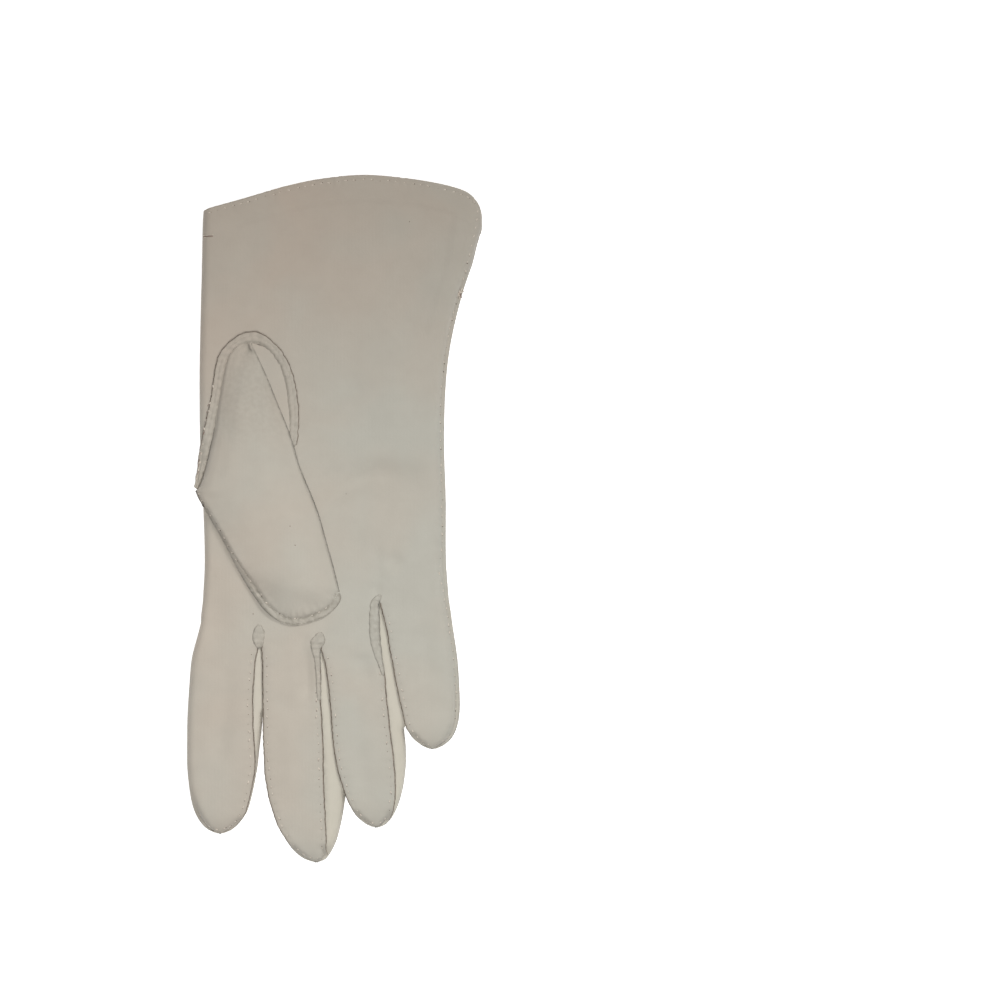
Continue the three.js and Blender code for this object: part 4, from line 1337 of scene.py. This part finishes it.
def cloth_material(name, warm, cool):
    """Fine knitted cloth: two ivories that run into each other, a darker tone of seam dirt and painted shade
    beside the seams, painted shade towards the cuff, a faint rib and a soft nap.
    """
    material = plain(name, warm, 0.9)
    tree = material.node_tree
    shader = tree.nodes["Principled BSDF"]
    shader.inputs["Sheen Weight"].default_value = 0.12
    shader.inputs["Sheen Roughness"].default_value = 0.5
    shader.inputs["Specular IOR Level"].default_value = 0.25
    places = tree.nodes.new("ShaderNodeTexCoord").outputs["Object"]

    # Cooler towards the little finger's side, warmer and darker at the cuff; the darkening is painted shade
    axes = tree.nodes.new("ShaderNodeSeparateXYZ")
    tree.links.new(places, axes.inputs["Vector"])
    large = stretched(tree, noise(tree, places, Scale=26.0, Detail=2.0, Distortion=0.4), 0.38, 0.62)
    aside = stretched(tree, axes.outputs["X"], -0.05, 0.05, 0.0, 0.8)
    colour = colour_mix(tree, calculated(tree, "MULTIPLY_ADD", large, 0.5, aside), warm, cool)
    # Painted shade: the cloth darkens towards the cuff, with a warmer tint
    up = stretched(tree, axes.outputs["Y"], 0.03, 0.11)
    colour = colour_mix(tree, up, colour, CUFF_WARMTH_AND_SHADE, "MULTIPLY")
    small = stretched(tree, noise(tree, places, Scale=170.0, Detail=4.0, Roughness=0.6), 0.3, 0.7, 0.0, 0.5)
    colour = colour_mix(tree, small, colour, FINE_TINT, "MULTIPLY")

    # Darker tone from the point attribute: seam dirt, and painted shade in gaps, creases and folds
    dirt_and_shade = tree.nodes.new("ShaderNodeAttribute")
    dirt_and_shade.attribute_name = "dirt_and_shade"
    patchy = stretched(tree, noise(tree, places, Scale=620.0, Detail=2.0), 0.3, 0.65, 0.15, 0.8)
    colour = colour_mix(tree, calculated(tree, "MULTIPLY", dirt_and_shade.outputs["Fac"], patchy), colour, SEAM_DIRT_AND_SHADE)
    tree.links.new(colour, shader.inputs["Base Color"])

    nap = noise(tree, places, Scale=420.0, Detail=3.0, Roughness=0.65)
    grain = noise(tree, places, Scale=2400.0, Detail=2.0)
    rib = node(tree, "ShaderNodeTexWave", Scale=640.0, Distortion=0.6, Detail=1.0)
    tree.links.new(places, rib.inputs["Vector"])
    relief = ((nap, 0.35, 0.00012), (grain, 0.4, 0.00005), (rib.outputs["Fac"], 0.25, 0.00004))
    normal = shader.inputs["Normal"]
    for texture, strength, distance in reversed(relief):
        bump = node(tree, "ShaderNodeBump", Strength=strength, Distance=distance)
        tree.links.new(texture, bump.inputs["Height"])
        tree.links.new(bump.outputs["Normal"], normal)
        normal = bump.inputs["Normal"]
    return material


# Pieces

trank_material = cloth_material("trank_ivory", WARM_IVORY, COOL_IVORY)
thumb_material = cloth_material("thumb_ivory", WARM_IVORY, COOL_IVORY)
gusset_material = cloth_material("fourchette_ivory", WARM_GUSSET, COOL_GUSSET)
# Dark colour of raw edges and their rims: the edges' dirt, and painted shade of the gaps beside them
dark_edge_and_shade_material = speckled("raw_edge_and_shade", (0.24, 0.2, 0.16), (0.12, 0.095, 0.075), 900.0)
thread_material = speckled("pale_thread", (0.62, 0.56, 0.48), (0.46, 0.4, 0.33), 2500.0, 0.6)
# Dark dimples: painted shade at the needle holes, and the colour of the dark specks of dirt
hole_shade_and_speck_material = speckled("hole_shade_and_speck", (0.16, 0.125, 0.1), (0.1, 0.075, 0.06), 1500.0)
brown_material = speckled("brown_thread", (0.25, 0.165, 0.135), (0.17, 0.11, 0.09), 1500.0)


def add_piece(name, parts, materials, nodes=()):
    made = mesh_object(name, parts, materials)
    if nodes:
        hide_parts(*nodes)
    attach(made, "root")
    return made


trank_cloth = add_piece(
    "trank_cloth", [trank(), loop_band()], [trank_material, dark_edge_and_shade_material],
    ("trank", "trank_index_finger"),
)
thumb_tube = add_piece(
    "thumb_tube", [thumb_cloth()], [thumb_material, dark_edge_and_shade_material], ("thumb",),
)
for name, *places in STRIPS:
    materials = [gusset_material, dark_edge_and_shade_material]
    add_piece(name + "_cloth", [fourchette(*places)], materials, (name,))

trank_tree = surface_tree(trank_cloth)
thumb_tree = surface_tree(thumb_tube, trank_cloth)
stitch_materials = [thread_material, hole_shade_and_speck_material, brown_material]

add_piece("palm_stitches", palm_stitches(trank_tree), stitch_materials)
add_piece("cuff_stitches", hem_stitches(trank_tree), stitch_materials)
add_piece("thumb_stitches", thumb_seam_stitches(thumb_tree), stitch_materials)
add_piece("thumb_hole_stitches", hole_stitches(trank_tree), stitch_materials)
parts = [seam_end(places, trank_tree, 81 + k) for k, places in enumerate(SEAM_ENDS)]
seam_ends = add_piece("seam_ends", parts, [trank_material, dark_edge_and_shade_material])
add_piece("tack_threads", tack_threads(trank_tree), stitch_materials)


def camera_and_lights():
    scene = bpy.context.scene
    width = FRAME_PIXELS[0] * MM_PER_PIXEL
    x = (FRAME_PIXELS[0] / 2 - CENTRE_PIXEL[0]) * MM_PER_PIXEL
    y = (CENTRE_PIXEL[1] - FRAME_PIXELS[1] / 2) * MM_PER_PIXEL
    data = bpy.data.cameras.new("camera")
    data.sensor_width = SENSOR
    data.lens = SENSOR * CAMERA_HEIGHT / width
    data.clip_end = 10
    camera = linked("camera", data)
    camera.location = (x * MM, y * MM, (CAMERA_HEIGHT + PALM_HEIGHT) * MM)
    scene.camera = camera
    for name, place, size, power in LIGHTS:
        light = bpy.data.lights.new(name, "AREA")
        light.shape, light.size, light.energy = "DISK", size, power
        lamp = linked(name, light)
        lamp.location = place
        lamp.rotation_euler = (Vector(AIM) - Vector(place)).to_track_quat("-Z", "Y").to_euler()
        lamp.visible_camera = False
    world = bpy.data.worlds.new("studio")
    world.use_nodes = True
    world.node_tree.nodes["Background"].inputs["Color"].default_value = (1, 1, 1, 1)
    world.node_tree.nodes["Background"].inputs["Strength"].default_value = SKY
    scene.world = world
    scene.view_settings.view_transform = "Standard"


def floor():
    corners = [(x * FLOOR_HALF, y * FLOOR_HALF, FLOOR_LEVEL) for x, y in ((-1, -1), (1, -1), (1, 1), (-1, 1))]
    mesh = bpy.data.meshes.new("floor")
    mesh.from_pydata(corners, [], [(0, 1, 2, 3)])
    material = plain("floor_white", (0.92, 0.92, 0.92), 0.95)
    shader = material.node_tree.nodes["Principled BSDF"]
    shader.inputs["Emission Color"].default_value = (1, 1, 1, 1)
    shader.inputs["Emission Strength"].default_value = FLOOR_GLOW
    mesh.materials.append(material)
    linked("floor", mesh)


camera_and_lights()
floor()
